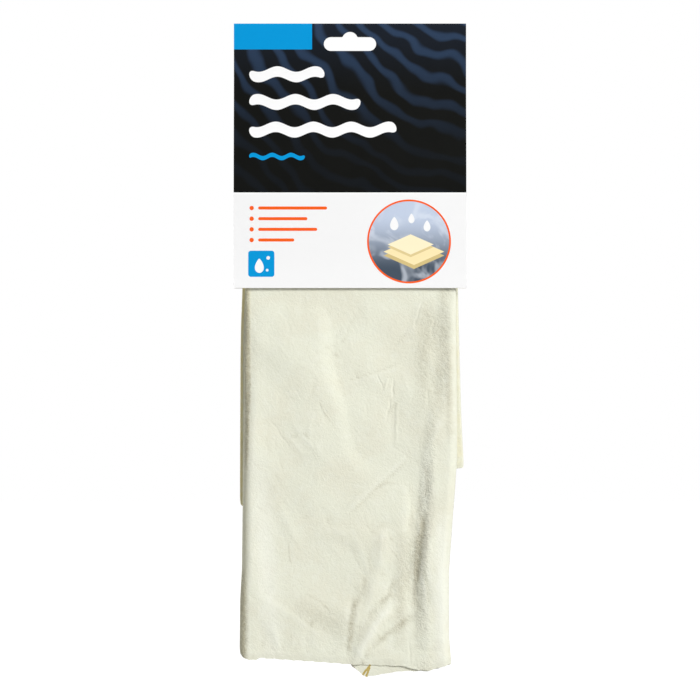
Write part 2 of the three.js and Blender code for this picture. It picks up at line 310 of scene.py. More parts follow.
@dataclass(frozen=True)
class Stroke:
    """A straight stretch of the front, in millimetres, where the nap or the surface changes."""

    start_x: float
    start_z: float
    end_x: float
    end_z: float
    half_width: float
    strength: float
    end_power: ClassVar[float] = 0.6

    def away(self, shader: Shader, at: Socket) -> tuple[Socket, Socket]:
        """Measure how far a place is from the stretch.

        Args:
            shader: The material in the making.
            at: The place.

        Returns:
            The distance, and how far along the stretch the nearest point is, from 0 to 1.
        """
        run = (self.end_x - self.start_x, self.end_z - self.start_z, 0.0)
        offset = shader.vector("SUBTRACT", at, (self.start_x, self.start_z, 0.0))
        square = run[0] ** 2 + run[1] ** 2
        share = shader.math("DIVIDE", shader.vector("DOT_PRODUCT", offset, run), square, clamp=True)
        foot = shader.vector("MULTIPLY", run, shader.join(share, share, share))
        return shader.vector("LENGTH", shader.vector("SUBTRACT", offset, foot)), share

    def mask(self, shader: Shader, at: Socket) -> Socket:
        """Mark the stretch, fading to its sides and its ends.

        Args:
            shader: The material in the making.
            at: The place.

        Returns:
            The mark, up to the strength.
        """
        distance, share = self.away(shader, at)
        sides = shader.spread(distance, 0.0, self.half_width, self.strength, 0.0)
        arch = shader.math("MULTIPLY", share, shader.math("MULTIPLY_ADD", share, -4.0, 4.0))
        return shader.math("MULTIPLY", sides, shader.math("POWER", arch, self.end_power))


def strokes(*rows: tuple[float, ...]) -> tuple[Stroke, ...]:
    """Describe some strokes, each by its two ends, its half width and its strength."""
    return tuple(Stroke(*row) for row in rows)


def marked(shader: Shader, at: Socket, group: Sequence[Stroke]) -> Socket:
    """Add up the marks of a group of strokes.

    Args:
        shader: The material in the making.
        at: The place.
        group: The strokes.

    Returns:
        Their sum.
    """
    total = group[0].mask(shader, at)
    for stroke in group[1:]:
        total = shader.math("ADD", total, stroke.mask(shader, at))
    return total


@dataclass(frozen=True)
class ChamoisFinish:
    """Oil-tanned suede: a cream nap, with painted shade, painted highlights and painted bounce
    light.

    A noise is given as its size in millimetres, its detail, its roughness and its warp, and a
    ramp as the range it comes from and the range it goes to.
    """

    cream: Colour = srgb(230, 231, 213)
    pale: Colour = srgb(233, 234, 219)
    dull: Colour = srgb(228, 227, 208)
    # From here on the colours are painted light and shade: shade, highlight, warm bounce light in
    # the folds, golden shade in a tear, and a cut edge's brown in shade.
    shaded: Colour = srgb(196, 192, 170)
    painted_highlight: Colour = srgb(242, 243, 232)
    fold_bounce: Colour = srgb(226, 215, 160)
    slit_shade_colour: Colour = srgb(190, 168, 96)
    shaded_edge_brown: Colour = srgb(128, 104, 74)
    clouds: tuple[float, ...] = (26.0, 3.0, 0.55, 0.4)
    spots: tuple[float, ...] = (5.0, 3.0, 0.6)
    grain: tuple[float, ...] = (1.7, 3.0, 0.65)
    nap: tuple[float, ...] = (0.7, 2.0, 0.6)
    nap_roughness: tuple[float, ...] = (0.2, 0.8, 0.86, 0.98)
    dull_ramp: Point = (0.35, 0.7)
    pale_ramp: tuple[float, ...] = (0.45, 0.75, 0.0, 0.5)
    grain_ramp: tuple[float, ...] = (0.5, 0.8, 0.0, 0.35)
    turned_ramp: Point = (0.35, 1.15)
    shade_ramp: tuple[float, ...] = (0.3, 0.62, 0.45, 1.0)
    bounce_depth: tuple[float, ...] = (-4.0, 1.0, 0.2, 0.95)
    bounce_spots: tuple[float, ...] = (0.3, 0.6, 0.7, 1.0)
    edge_shade_ramp: Point = (0.25, 0.6)
    slit_shade_edge: float = 0.25
    slit_shade_fray: float = 1.2
    turned_spots: float = 0.6
    ridge_highlight_share: float = 0.5
    fray: float = 2.6
    sway: float = 2.4
    sway_noise: Point = (5.0, 1.0)
    grain_height: float = 0.46
    grain_ruffled: float = 1.1
    nap_height: float = 0.2
    nap_ruffled: float = 0.5
    crinkle_sets: tuple[tuple[float, ...], ...] = ((-58.0, 2.6, 0.36), (34.0, 3.4, 0.26))
    crinkle_draw: Place = (0.16, 1.0, 1.0)
    crinkle_noise: Place = (2.0, 0.5, 0.6)
    crinkle_patch: Point = (19.0, 1.0)
    crinkle_ramp: Point = (0.42, 0.68)
    bump: float = 0.62
    front_depth: float = -1.2
    # A small tear at the hanging corner, painted golden as the shaded layers behind it.
    slit_shade_lines: tuple[Stroke, ...] = strokes(
        (12.2, -386.8, 7.4, -393, 0.62, 1), (11.8, -388.6, 9.8, -393.6, 0.62, 1),
    )
    # The corner's cut edge: its own brown, darkened as painted shade.
    shaded_cut_edge: Stroke = Stroke(0.6, -386.6, 8.6, -394.2, 0.6, 0.8)
    # Strokes of painted shade on the front, added to the painted shade of the hollows.
    raised: tuple[Stroke, ...] = strokes(
        (46.2, -292, 43.6, -324, 6, 0.85), (43.2, -306, 40.2, -336, 6.8, 0.9),
        (58.5, -176, 54, -240, 7, 0.36), (48, -162, 52, -196, 8, 0.3),
        (57, -138, 58.5, -190, 6, 0.4), (60.4, -190, 60.8, -252, 3.4, 0.6),
        (44.6, -168, 45.4, -236, 9, 0.5), (49.2, -262, 49.6, -310, 4.4, 0.4),
        (-34, -350, 4, -368, 13, 0.36), (33, -304, 30, -378, 6.4, 0.5),
        (11.6, -310, 9.8, -334, 3.2, 0.16), (7.4, -330, 2.6, -356, 3.4, 0.26),
        (3.8, -346, -1, -378, 4, 0.5),
    )
    ruffled: tuple[Stroke, ...] = strokes(
        (51.5, -218, 47.6, -282, 6, 1), (47.6, -258, 43.2, -344, 6.5, 1.5),
        (43, -322, 45.6, -392, 7, 0.9),
    )
    # Painted shade on the wide left fold, its inner edge frayed by noise.
    fold_shade_strokes: tuple[Stroke, ...] = strokes(
        (-63.4, -128, -62.2, -234, 2.8, 1.8), (-62, -204, -63.4, -268, 2.5, 1.4),
        (-66.2, -326, -65.8, -404, 5.8, 1.5),
    )
    # Patches of painted highlight on the front.
    highlight_strokes: tuple[Stroke, ...] = strokes(
        (46.4, -254, 45.2, -300, 4.6, 0.2), (56, -292, 55.5, -392, 6.6, 0.6),
        (-56, -256, -46, -390, 11, 0.44),
    )
    pinches: tuple[Stroke, ...] = strokes(
        (43.8, -165, 39.2, -181.5, 1.3, -0.42), (26.5, -213, 25.9, -224, 1.3, -0.5),
        (25, -224, 22, -238, 1.2, -0.3), (28.9, -225, 28, -254, 1.6, 0.4),
        (16.7, -209, 20.2, -218.5, 1.2, -0.34), (23.2, -212, 20.8, -219.5, 1.3, 0.34),
        (9, -210.8, 38.6, -200, 1, -0.1), (47.4, -218, 47.2, -227, 1.3, -0.34),
        (51.4, -175, 49.6, -188, 1.8, -0.4), (36, -370, 36.4, -388, 1.2, -0.26),
        (20.4, -268, -2, -290, 1.2, 0.22), (-49, -236, -37, -254, 1.2, -0.2),
    )

    def make(self) -> Material:
        """Build the material.

        Returns:
            The suede.
        """
        shader = Shader("chamois_suede")
        lie = shader.attribute(LIE)
        layers = (self.clouds, self.spots, self.grain, self.nap)
        clouds, spots, grain, nap = (shader.noise(lie, *layer) for layer in layers)
        tone = shader.mix(shader.spread(clouds, *self.dull_ramp), self.cream, self.dull)
        tone = shader.mix(shader.spread(spots, *self.pale_ramp), tone, self.pale)
        tone = shader.mix(shader.spread(grain, *self.grain_ramp), tone, self.dull)
        x, y, z = shader.split(shader.attribute(REST))
        front = shader.math("LESS_THAN", y, self.front_depth)
        at = shader.join(x, z)
        swayed = shader.sideways(x, z, shader.noise(at, *self.sway_noise), self.sway)
        hollow, highlight_mask, turned = shader.split(shader.attribute(HOLLOW))
        turned = shader.math("MULTIPLY_ADD", spots, self.turned_spots, turned)
        turned = shader.spread(turned, *self.turned_ramp)
        frayed = shader.sideways(x, z, nap, self.fray)
        # Painted shade: the hollows, the shade strokes and the fold shade darken the suede towards
        # the shaded colour.
        raised = shader.math("ADD", marked(shader, swayed, self.raised),
                             marked(shader, frayed, self.fold_shade_strokes))
        raised = shader.math("MULTIPLY", raised, front)
        hollow = shader.math("ADD", hollow, raised, clamp=True)
        depth = shader.math("MULTIPLY", hollow, shader.spread(grain, *self.shade_ramp))
        tone = shader.mix(depth, tone, self.shaded)
        # Painted warm bounce light on the turned folds, strongest on the rear leaf.
        bounce_mask = shader.math("MULTIPLY", shader.spread(y, *self.bounce_depth),
                             shader.spread(spots, *self.bounce_spots))
        tone = shader.mix(shader.math("MULTIPLY", turned, bounce_mask), tone, self.fold_bounce)
        # Painted highlights on the ridges and along the highlight strokes.
        highlight_strokes = shader.math("MULTIPLY", marked(shader, swayed, self.highlight_strokes), front)
        highlight_mask = shader.math("MULTIPLY_ADD", highlight_mask, self.ridge_highlight_share, highlight_strokes, clamp=True)
        tone = shader.mix(highlight_mask, tone, self.painted_highlight)
        # Painted golden shade in the small tear.
        colour = shader.mix(self.slit_shade(shader, at, front, grain), tone, self.slit_shade_colour)
        # A painted line of shade along the corner's cut edge, in the edge's own brown.
        along_edge, _ = self.shaded_cut_edge.away(shader, at)
        edge_shade = shader.spread(along_edge, *self.edge_shade_ramp, self.shaded_cut_edge.strength, 0.0)
        colour = shader.mix(edge_shade, colour, self.shaded_edge_brown)
        ruffled = shader.math("MULTIPLY", marked(shader, swayed, self.ruffled), front)
        ruffled = shader.math("MAXIMUM", hollow, ruffled, clamp=True)
        heights = [shader.math("MULTIPLY_ADD", ruffled, more, least) for more, least in
                   ((self.grain_ruffled, self.grain_height), (self.nap_ruffled, self.nap_height))]
        height = shader.math("MULTIPLY_ADD", grain, heights[0],
                             shader.math("MULTIPLY", nap, heights[1]))
        for crinkle in self.crinkle_sets:
            height = shader.math("ADD", height, self.crinkles(shader, lie, *crinkle))
        pinched = marked(shader, swayed, self.pinches)
        height = shader.math("MULTIPLY_ADD", pinched, front, height)
        rough = shader.spread(nap, *self.nap_roughness, "LINEAR")
        return shader.surface(colour, rough, height, self.bump, Sheen_Weight=0.12,
                              Sheen_Roughness=0.5, Specular_IOR_Level=0.18)

    def crinkles(self, shader: Shader, lie: Socket, turn: float, size: float,
                 share: float) -> Socket:
        """Raise fine crinkles that run one way, in patches.

        Args:
            shader: The material in the making.
            lie: Places on the flat skin.
            turn: The way they run, in degrees.
            size: Their spacing in millimetres.
            share: Their height in millimetres.

        Returns:
            Their height.
        """
        turned = shader.node("ShaderNodeVectorRotate", lie, rotation_type="Z_AXIS")
        turned.inputs["Angle"].default_value = math.radians(turn)
        drawn = shader.vector("MULTIPLY", turned.outputs[0], self.crinkle_draw)
        lines = shader.noise(drawn, size, *self.crinkle_noise)
        patches = shader.noise(turned.outputs[0], *self.crinkle_patch)
        patches = shader.spread(patches, *self.crinkle_ramp)
        return shader.math("MULTIPLY", shader.math("MULTIPLY", lines, patches), share)

    def slit_shade(self, shader: Shader, at: Socket, front: Socket, grain: Socket) -> Socket:
        """Mask the painted golden shade in a small tear on the hanging corner.

        Args:
            shader: The material in the making.
            at: The place.
            front: Whether the place is on the front.
            grain: Noise that frays the mask.

        Returns:
            The mask.
        """
        nearest = shader.math("MINIMUM", *(slit_line.away(shader, at)[0] for slit_line in self.slit_shade_lines))
        inside = shader.math("SUBTRACT", nearest, self.slit_shade_fray / 2)
        frayed = shader.math("MULTIPLY_ADD", grain, self.slit_shade_fray, inside)
        edge = self.slit_shade_lines[0].half_width
        band = shader.spread(frayed, edge - self.slit_shade_edge, edge + self.slit_shade_edge, 1.0, 0.0)
        return shader.math("MULTIPLY", band, front)


@dataclass(frozen=True)
class TwoToneFinish:
    """A plain finish, whose noise mixes two colours and also roughens and raises the surface.

    It reads its places from a stored vector, and draws them out by a share in each direction. A
    roughness of one value is the same all over.
    """

    name: str
    first: Colour
    second: Colour
    pattern: tuple[float, ...]
    ramp: Point
    roughness: tuple[float, ...]
    bump: float
    uniform: tuple[tuple[str, float], ...]
    reads: str = REST
    drawn: Place = (1.0, 1.0, 1.0)

    def make(self) -> Material:
        """Build the material.

        Returns:
            The finish.
        """
        shader = Shader(self.name)
        at = shader.vector("MULTIPLY", shader.attribute(self.reads), self.drawn)
        pattern = shader.noise(at, *self.pattern)
        colour = shader.mix(shader.spread(pattern, *self.ramp), self.first, self.second)
        rough = self.roughness[0]
        if len(self.roughness) > 1:
            rough = shader.roughened(pattern, *self.roughness)
        return shader.surface(colour, rough, pattern, self.bump, **dict(self.uniform))


# The cut edge of the skin, a little darker and more fibrous than its faces.
RAW_EDGE = TwoToneFinish(
    "chamois_raw_edge", srgb(226, 221, 198), srgb(204, 194, 164), (1.1, 4.0, 0.7), (0.4, 0.7),
    (0.95,), 0.5, (("Sheen_Weight", 0.1), ("Specular_IOR_Level", 0.15)), reads=LIE,
)
# The uncoated inside and the cut edges of the board.
BARE_BOARD = TwoToneFinish(
    "card_bare_board", srgb(236, 234, 227), srgb(220, 216, 205), (1.4, 4.0, 0.6), (0.4, 0.75),
    (0.85,), 0.12, (("Specular_IOR_Level", 0.2),),
)
# Zinc-plated staple wire, drawn lengthwise and slightly dulled.
ZINC_WIRE = TwoToneFinish(
    "staple_wire_zinc", srgb(205, 208, 212), srgb(150, 152, 156), (0.5, 3.0, 0.6), (0.35, 0.7),
    (0.24, 0.42), 0.08, (("Metallic", 1.0),), drawn=(0.25, 1.0, 4.0),
)
# A cooled drop of hot-melt glue, waxy and a little cloudy.
HOT_MELT = TwoToneFinish(
    "hot_melt_glue", srgb(222, 208, 164), srgb(238, 230, 200), (2.2, 2.0), (0.4, 0.7),
    (0.22, 0.4), 0.1, (("Specular_IOR_Level", 0.5),),
)


class Motif(Enum):
    """The plain shapes that the card is printed with."""

    BAR = "bar"
    DISC = "disc"
    RIBBON = "ribbon"
    DROP = "drop"
    LOZENGE = "lozenge"


@dataclass(frozen=True)
class Mark:
    """One printed shape, in millimetres on the face of the card."""

    motif: Motif
    centre: Point
    half: Point
    colour: Colour
    corner: float = 0.0
    wave: float = 0.0
    wavelength: float = 1.0
    soft_edge: ClassVar[float] = 0.12
    drop_tip: ClassVar[float] = 1.6
    drop_pinch: ClassVar[float] = 1.6
    drop_narrowest: ClassVar[float] = 0.05
    drop_centre: ClassVar[float] = 0.15
    drop_flat: ClassVar[float] = 0.72

    def distance(self, shader: Shader, at: Socket) -> Socket:
        """Measure how far a place is outside the shape.

        Args:
            shader: The material in the making.
            at: The place on the face.

        Returns:
            The distance, below 0 inside.
        """
        local = shader.vector("SUBTRACT", at, (*self.centre, 0.0))
        wide, high = self.half
        if self.motif is Motif.DISC:
            return shader.math("SUBTRACT", shader.vector("LENGTH", local), wide)
        if self.motif is Motif.LOZENGE:
            x, y, _ = shader.split(shader.vector("ABSOLUTE", local))
            total = shader.math("ADD", shader.math("DIVIDE", x, wide),
                                shader.math("DIVIDE", y, high))
            return shader.math("MULTIPLY", shader.math("SUBTRACT", total, 1.0), min(self.half))
        if self.motif is Motif.DROP:
            x, y, _ = shader.split(local)
            rise = shader.spread(y, -high, high * self.drop_tip, 0.0, 1.0, "LINEAR")
            pinch = shader.math("SUBTRACT", 1.0, shader.math("POWER", rise, self.drop_pinch))
            pinch = shader.math("MAXIMUM", pinch, self.drop_narrowest)
            out = shader.math("DIVIDE", x, pinch)
            up = shader.math("ADD", y, high * self.drop_centre)
            up = shader.math("MULTIPLY", up, self.drop_flat)
            return shader.math("SUBTRACT", shader.vector("LENGTH", shader.join(out, up)), wide)
        if self.motif is Motif.RIBBON:
            x, y, _ = shader.split(local)
            sway = shader.math("SINE", shader.math("MULTIPLY", x, math.tau / self.wavelength))
            local = shader.join(x, shader.math("MULTIPLY_ADD", sway, self.wave, y))
        core = (wide - self.corner, high - self.corner, 0.0)
        beyond = shader.vector("SUBTRACT", shader.vector("ABSOLUTE", local), core)
        outside = shader.vector("LENGTH", shader.vector("MAXIMUM", beyond, (0.0, 0.0, 0.0)))
        return shader.math("SUBTRACT", outside, self.corner)

    def mask(self, shader: Shader, at: Socket) -> Socket:
        """Mark the inside of the shape."""
        return shader.spread(self.distance(shader, at), -self.soft_edge, self.soft_edge, 1.0, 0.0)

    def paint(self, shader: Shader, at: Socket, under: Socket) -> Socket:
        """Print the shape over the colour below."""
        return shader.mix(self.mask(shader, at), under, self.colour)


WHITE = srgb(247, 247, 247)
PANEL = srgb(243, 243, 243)
BLUE = srgb(0, 150, 215)
ORANGE = srgb(248, 95, 28)
SLATE = srgb(62, 88, 124)
NIGHT = srgb(14, 15, 13)

# The coated faces of the board: their roughness, and the fine tooth that raises them.
COATED = (0.42, 0.5)
TOOTH = (0.9, 2.0)
TOOTH_BUMP = 0.03


def bar(left: float, right: float, height: float, thick: float, colour: Colour,
        corner: float) -> Mark:
    """Describe a level bar by its ends, its middle's height and its thickness."""
    return Mark(Motif.BAR, ((left + right) / 2, height), ((right - left) / 2, thick / 2), colour,
                corner)


Table = tuple[tuple[Motif, Point, Point, Colour], ...]


def placed(table: Table, centre: Point) -> list[Mark]:
    """Place a table's marks, whose centres are counted from the given one."""
    return [Mark(motif, (centre[0] + x, centre[1] + z), half, colour)
            for motif, (x, z), half, colour in table]


@dataclass(frozen=True)
class FrontPrint:
    """The coated front: a dark band with ripples over a pale panel, with generic marks."""

    band_foot: float = -98.5
    line_foot: float = -99.9
    glow: Colour = srgb(32, 41, 56)
    ripple_centre: Point = (95.0, 62.0)
    ripple_pitch: float = 13.0
    ripple_bend: float = 34.0
    ripple_noise: Place = (46.0, 2.0, 0.5)
    crest_ramp: Point = (-0.2, 1.0)
    lift_ramp: tuple[float, ...] = (-80.0, 8.0, 0.03, 0.42)
    fall_ramp: tuple[float, ...] = (-42.0, 10.0, 0.0, 0.5)
    tone: Point = (14.0, 3.0)
    specular: float = 0.08
    flag: tuple[float, ...] = (-71.5, -23.2, 0.0, 21.6)
    flag_corner: float = 0.3
    # Each ribbon's height, length, half thickness, wave, wavelength and colour.
    ribbons: tuple[tuple[object, ...], ...] = (
        (-26.0, 46.0, 3.2, 1.7, 23.0, WHITE), (-43.0, 68.0, 3.2, 1.7, 23.0, WHITE),
        (-60.0, 90.0, 3.2, 1.7, 23.0, WHITE), (-76.5, 34.0, 1.3, 1.0, 11.5, BLUE),
    )
    ribbon_left: float = -61.6
    ribbon_end: float = 0.05
    rows: tuple[Point, ...] = ((-108.0, 42.0), (-114.5, 30.0), (-121.0, 36.0), (-127.5, 22.0))
    row_left: float = -60.0
    row_indent: float = 4.0
    row_thick: float = 1.9
    row_corner: float = 0.9
    dot_radius: float = 1.35
    inset_centre: Point = (36.0, -128.4)
    inset_radius: float = 25.6
    inset_ring: float = 1.1
    inset_fall: float = 18.0
    inset_low: Colour = srgb(70, 82, 96)
    inset_high: Colour = srgb(196, 208, 228)
    inset_sheen: Colour = srgb(226, 233, 244)
    sheen_noise: tuple[float, ...] = (17.0, 2.0, 0.5, 1.5)
    sheen_ramp: tuple[float, ...] = (0.5, 0.72, 0.0, 0.5)
    inset_marks: Table = (
        (Motif.LOZENGE, (3.0, -8.6), (18.5, 8.2), srgb(214, 192, 132)),
        (Motif.LOZENGE, (3.0, -6.2), (18.5, 8.2), srgb(250, 232, 180)),
        (Motif.LOZENGE, (1.0, -3.4), (14.0, 6.2), srgb(226, 205, 148)),
        (Motif.LOZENGE, (1.0, -1.8), (14.0, 6.2), srgb(253, 241, 203)),
        (Motif.DROP, (-9.0, 11.5), (2.9, 4.2), WHITE),
        (Motif.DROP, (1.5, 14.5), (2.1, 3.0), WHITE),
        (Motif.DROP, (11.0, 10.0), (2.4, 3.5), WHITE),
    )
    tile_centre: Point = (-54.1, -142.0)
    tile_marks: Table = (
        (Motif.DROP, (-1.2, -0.6), (3.1, 4.4), WHITE),
        (Motif.DISC, (4.2, 3.6), (1.1, 1.1), WHITE),
        (Motif.DISC, (3.6, -3.9), (0.8, 0.8), WHITE),
    )
    tile_half: float = 8.0
    tile_corner: float = 1.7

    def make(self) -> Material:
        """Build the material.

        Returns:
            The printed front.
        """
        shader = Shader("card_front_print")
        x, _, z = shader.split(shader.attribute(REST))
        at = shader.join(x, z)
        colour = self.ground(shader, at, z)
        for mark in self.marks():
            colour = mark.paint(shader, at, colour)
        colour = self.inset(shader, at, colour)
        rough = shader.roughened(shader.noise(at, *self.tone), *COATED)
        tooth = shader.noise(at, *TOOTH)
        return shader.surface(colour, rough, tooth, TOOTH_BUMP, Specular_IOR_Level=self.specular)

    def ground(self, shader: Shader, at: Socket, z: Socket) -> Socket:
        """Colour the band and the panel.

        Args:
            shader: The material in the making.
            at: The place on the face.
            z: Its height.

        Returns:
            The ground colour.
        """
        fall = shader.spread(z, *self.fall_ramp)
        centre = shader.vector("SUBTRACT", at, (*self.ripple_centre, 0.0))
        bend = shader.noise(at, *self.ripple_noise)
        reach = shader.vector("LENGTH", centre)
        reach = shader.math("MULTIPLY_ADD", bend, self.ripple_bend, reach)
        turn = shader.math("MULTIPLY", reach, math.tau / self.ripple_pitch)
        crest = shader.spread(shader.math("SINE", turn), *self.crest_ramp)
        lift = shader.math("MULTIPLY", crest, shader.spread(z, *self.lift_ramp))
        dark = shader.mix(lift, shader.mix(fall, NIGHT, self.glow), SLATE)
        line = shader.mix(shader.math("GREATER_THAN", z, self.line_foot), PANEL, WHITE)
        return shader.mix(shader.math("GREATER_THAN", z, self.band_foot), line, dark)

    def marks(self) -> list[Mark]:
        """List the flat marks.

        Returns:
            The marks in the order they are printed.
        """
        made = [bar(*self.flag, BLUE, self.flag_corner)]
        for height, length, half, wave, wavelength, colour in self.ribbons:
            centre = (self.ribbon_left + length / 2, height)
            made.append(Mark(Motif.RIBBON, centre, (length / 2, half), colour,
                             half - self.ribbon_end, wave, wavelength))
        left = self.row_left + self.row_indent
        for height, length in self.rows:
            dot = (self.dot_radius, self.dot_radius)
            made.append(Mark(Motif.DISC, (self.row_left, height), dot, ORANGE))
            made.append(bar(left, left + length, height, self.row_thick, ORANGE,
                            self.row_corner))
        tile = (self.tile_half, self.tile_half)
        made.append(Mark(Motif.BAR, self.tile_centre, tile, BLUE, self.tile_corner))
        return made + placed(self.tile_marks, self.tile_centre)

    def inset(self, shader: Shader, at: Socket, under: Socket) -> Socket:
        """Print the ringed roundel: a folded pale cloth and drops on a grey-blue ground.

        Args:
            shader: The material in the making.
            at: The place on the face.
            under: The colour below.

        Returns:
            The colour with the roundel on it.
        """
        middle = self.inset_centre[1]
        _, z, _ = shader.split(at)
        fall = shader.spread(z, middle - self.inset_fall, middle + self.inset_fall)
        ground = shader.mix(fall, self.inset_low, self.inset_high)
        sheen = shader.spread(shader.noise(at, *self.sheen_noise), *self.sheen_ramp)
        ground = shader.mix(sheen, ground, self.inset_sheen)
        for mark in placed(self.inset_marks, self.inset_centre):
            ground = mark.paint(shader, at, ground)
        ring, inner = (Mark(Motif.DISC, self.inset_centre, (radius, radius), ORANGE)
                       for radius in (self.inset_radius, self.inset_radius - self.inset_ring))
        ringed = ring.paint(shader, at, under)
        return shader.mix(inner.mask(shader, at), ringed, ground)


@dataclass(frozen=True)
class RearPrint:
    """The back of the card: the same dark band over the crease, and a plain pale panel."""

    band_foot: float = -31.0
    line: float = 1.8
    glow: Colour = srgb(44, 60, 84)
    grey: Colour = srgb(176, 179, 183)
    rows: tuple[Point, ...] = (
        (-44.0, 84.0), (-49.0, 96.0), (-54.0, 70.0), (-64.0, 90.0), (-69.0, 62.0),
    )
    row_left: float = -56.0
    row_thick: float = 1.5
    row_corner: float = 0.7
    tone: Point = (22.0, 2.0)
    glow_ramp: tuple[float, ...] = (0.4, 0.8, 0.0, 0.35)
    specular: float = 0.3
    patch: Mark = Mark(Motif.BAR, (46.0, -84.0), (14.0, 9.0), srgb(226, 228, 230), 1.6)

    def make(self) -> Material:
        """Build the material.

        Returns:
            The printed back.
        """
        shader = Shader("card_rear_print")
        x, _, z = shader.split(shader.attribute(REST))
        at = shader.join(x, z)
        tone = shader.noise(at, *self.tone)
        dark = shader.mix(shader.spread(tone, *self.glow_ramp), NIGHT, self.glow)
        in_line = shader.math("GREATER_THAN", z, self.band_foot - self.line)
        edge = shader.mix(in_line, PANEL, WHITE)
        colour = shader.mix(shader.math("GREATER_THAN", z, self.band_foot), edge, dark)
        for height, length in self.rows:
            row = bar(self.row_left, self.row_left + length, height, self.row_thick, self.grey,
                      self.row_corner)
            colour = row.paint(shader, at, colour)
        colour = self.patch.paint(shader, at, colour)
        rough = shader.roughened(tone, *COATED)
        tooth = shader.noise(at, *TOOTH)
        return shader.surface(colour, rough, tooth, TOOTH_BUMP, Specular_IOR_Level=self.specular)


def store_vector(mesh: Mesh, name: str, values: Array) -> None:
    """Keep a vector, one row of the values, on each point of a mesh."""
    kept = mesh.attributes.get(name) or mesh.attributes.new(name, "FLOAT_VECTOR", "POINT")
    kept.data.foreach_set("vector", values.astype(np.float32).ravel())


def points_of(mesh: Mesh) -> Array:
    """Read a mesh's points.

    Args:
        mesh: The mesh.

    Returns:
        One row of three numbers for each point, in metres.
    """
    flat = np.zeros(len(mesh.vertices) * 3)
    mesh.vertices.foreach_get("co", flat)
    return flat.reshape(-1, 3)


def keep_rest(mesh: Mesh) -> None:
    """Store where each point lies at rest, in millimetres, so a pattern bends with the piece."""
    store_vector(mesh, REST, points_of(mesh) / MM)


@contextmanager
def opened(mesh: Mesh) -> Iterator[Shape]:
    """Open a mesh for a change, and write it back after it.

    Args:
        mesh: The mesh.

    Yields:
        Its form.
    """
    form = bmesh.new()
    form.from_mesh(mesh)
    yield form
    form.to_mesh(mesh)
    form.free()


def extruded(outline: Sequence[Place], sweep: Place) -> Shape:
    """Sweep a closed outline straight into a solid.

    Args:
        outline: The corners of its first face.
        sweep: How far it is swept, and which way.

    Returns:
        The form.
    """
    form = bmesh.new()
    face = form.faces.new([form.verts.new(corner) for corner in outline])
    grown = bmesh.ops.extrude_face_region(form, geom=[face])["geom"]
    moved = [item for item in grown if isinstance(item, bmesh.types.BMVert)]
    bmesh.ops.translate(form, verts=moved, vec=sweep)
    return form


def mesh_of(form: Shape, name: str) -> Mesh:
    """Turn a form into a new mesh, and free the form.

    Args:
        form: The form.
        name: The mesh's name.

    Returns:
        The mesh.
    """
    mesh = bpy.data.meshes.new(name)
    form.to_mesh(mesh)
    form.free()
    return mesh


def show(name: str, data: bpy.types.ID) -> Piece:
    """Put new data in the scene as an object at the origin.

    Args:
        name: The object's name.
        data: The mesh, lamp or camera.

    Returns:
        The object.
    """
    made = bpy.data.objects.new(name, data)
    bpy.context.scene.collection.objects.link(made)
    return made


def add_piece(name: str, mesh: Mesh, materials: Sequence[Material]) -> Piece:
    """Show a mesh as a piece at the origin.

    Args:
        name: The piece's name.
        mesh: Its mesh, in place.
        materials: Its materials by slot.

    Returns:
        The piece.
    """
    mesh.name = name
    for material in materials:
        mesh.materials.append(material)
    return show(name, mesh)


def settle(piece: Piece) -> None:
    """Apply a piece's modifiers to its mesh.

    Args:
        piece: The piece.
    """
    bpy.context.view_layer.update()
    graph = bpy.context.evaluated_depsgraph_get()
    made = bpy.data.meshes.new_from_object(
        piece.evaluated_get(graph), preserve_all_data_layers=True, depsgraph=graph)
    piece.modifiers.clear()
    piece.data = made
    made.name = piece.name


def soften(mesh: Mesh, sharp_above: float) -> None:
    """Shade a mesh smooth, apart from edges sharper than an angle.

    Args:
        mesh: The mesh.
        sharp_above: The angle in degrees.
    """
    limit = math.radians(sharp_above)
    with opened(mesh) as form:
        for face in form.faces:
            face.smooth = True
        for edge in form.edges:
            edge.smooth = len(edge.link_faces) == 2 and edge.calc_face_angle(0) < limit


class Side(Enum):
    """The material slots of the card."""

    FRONT = 0
    REAR = 1
    INSIDE = 2


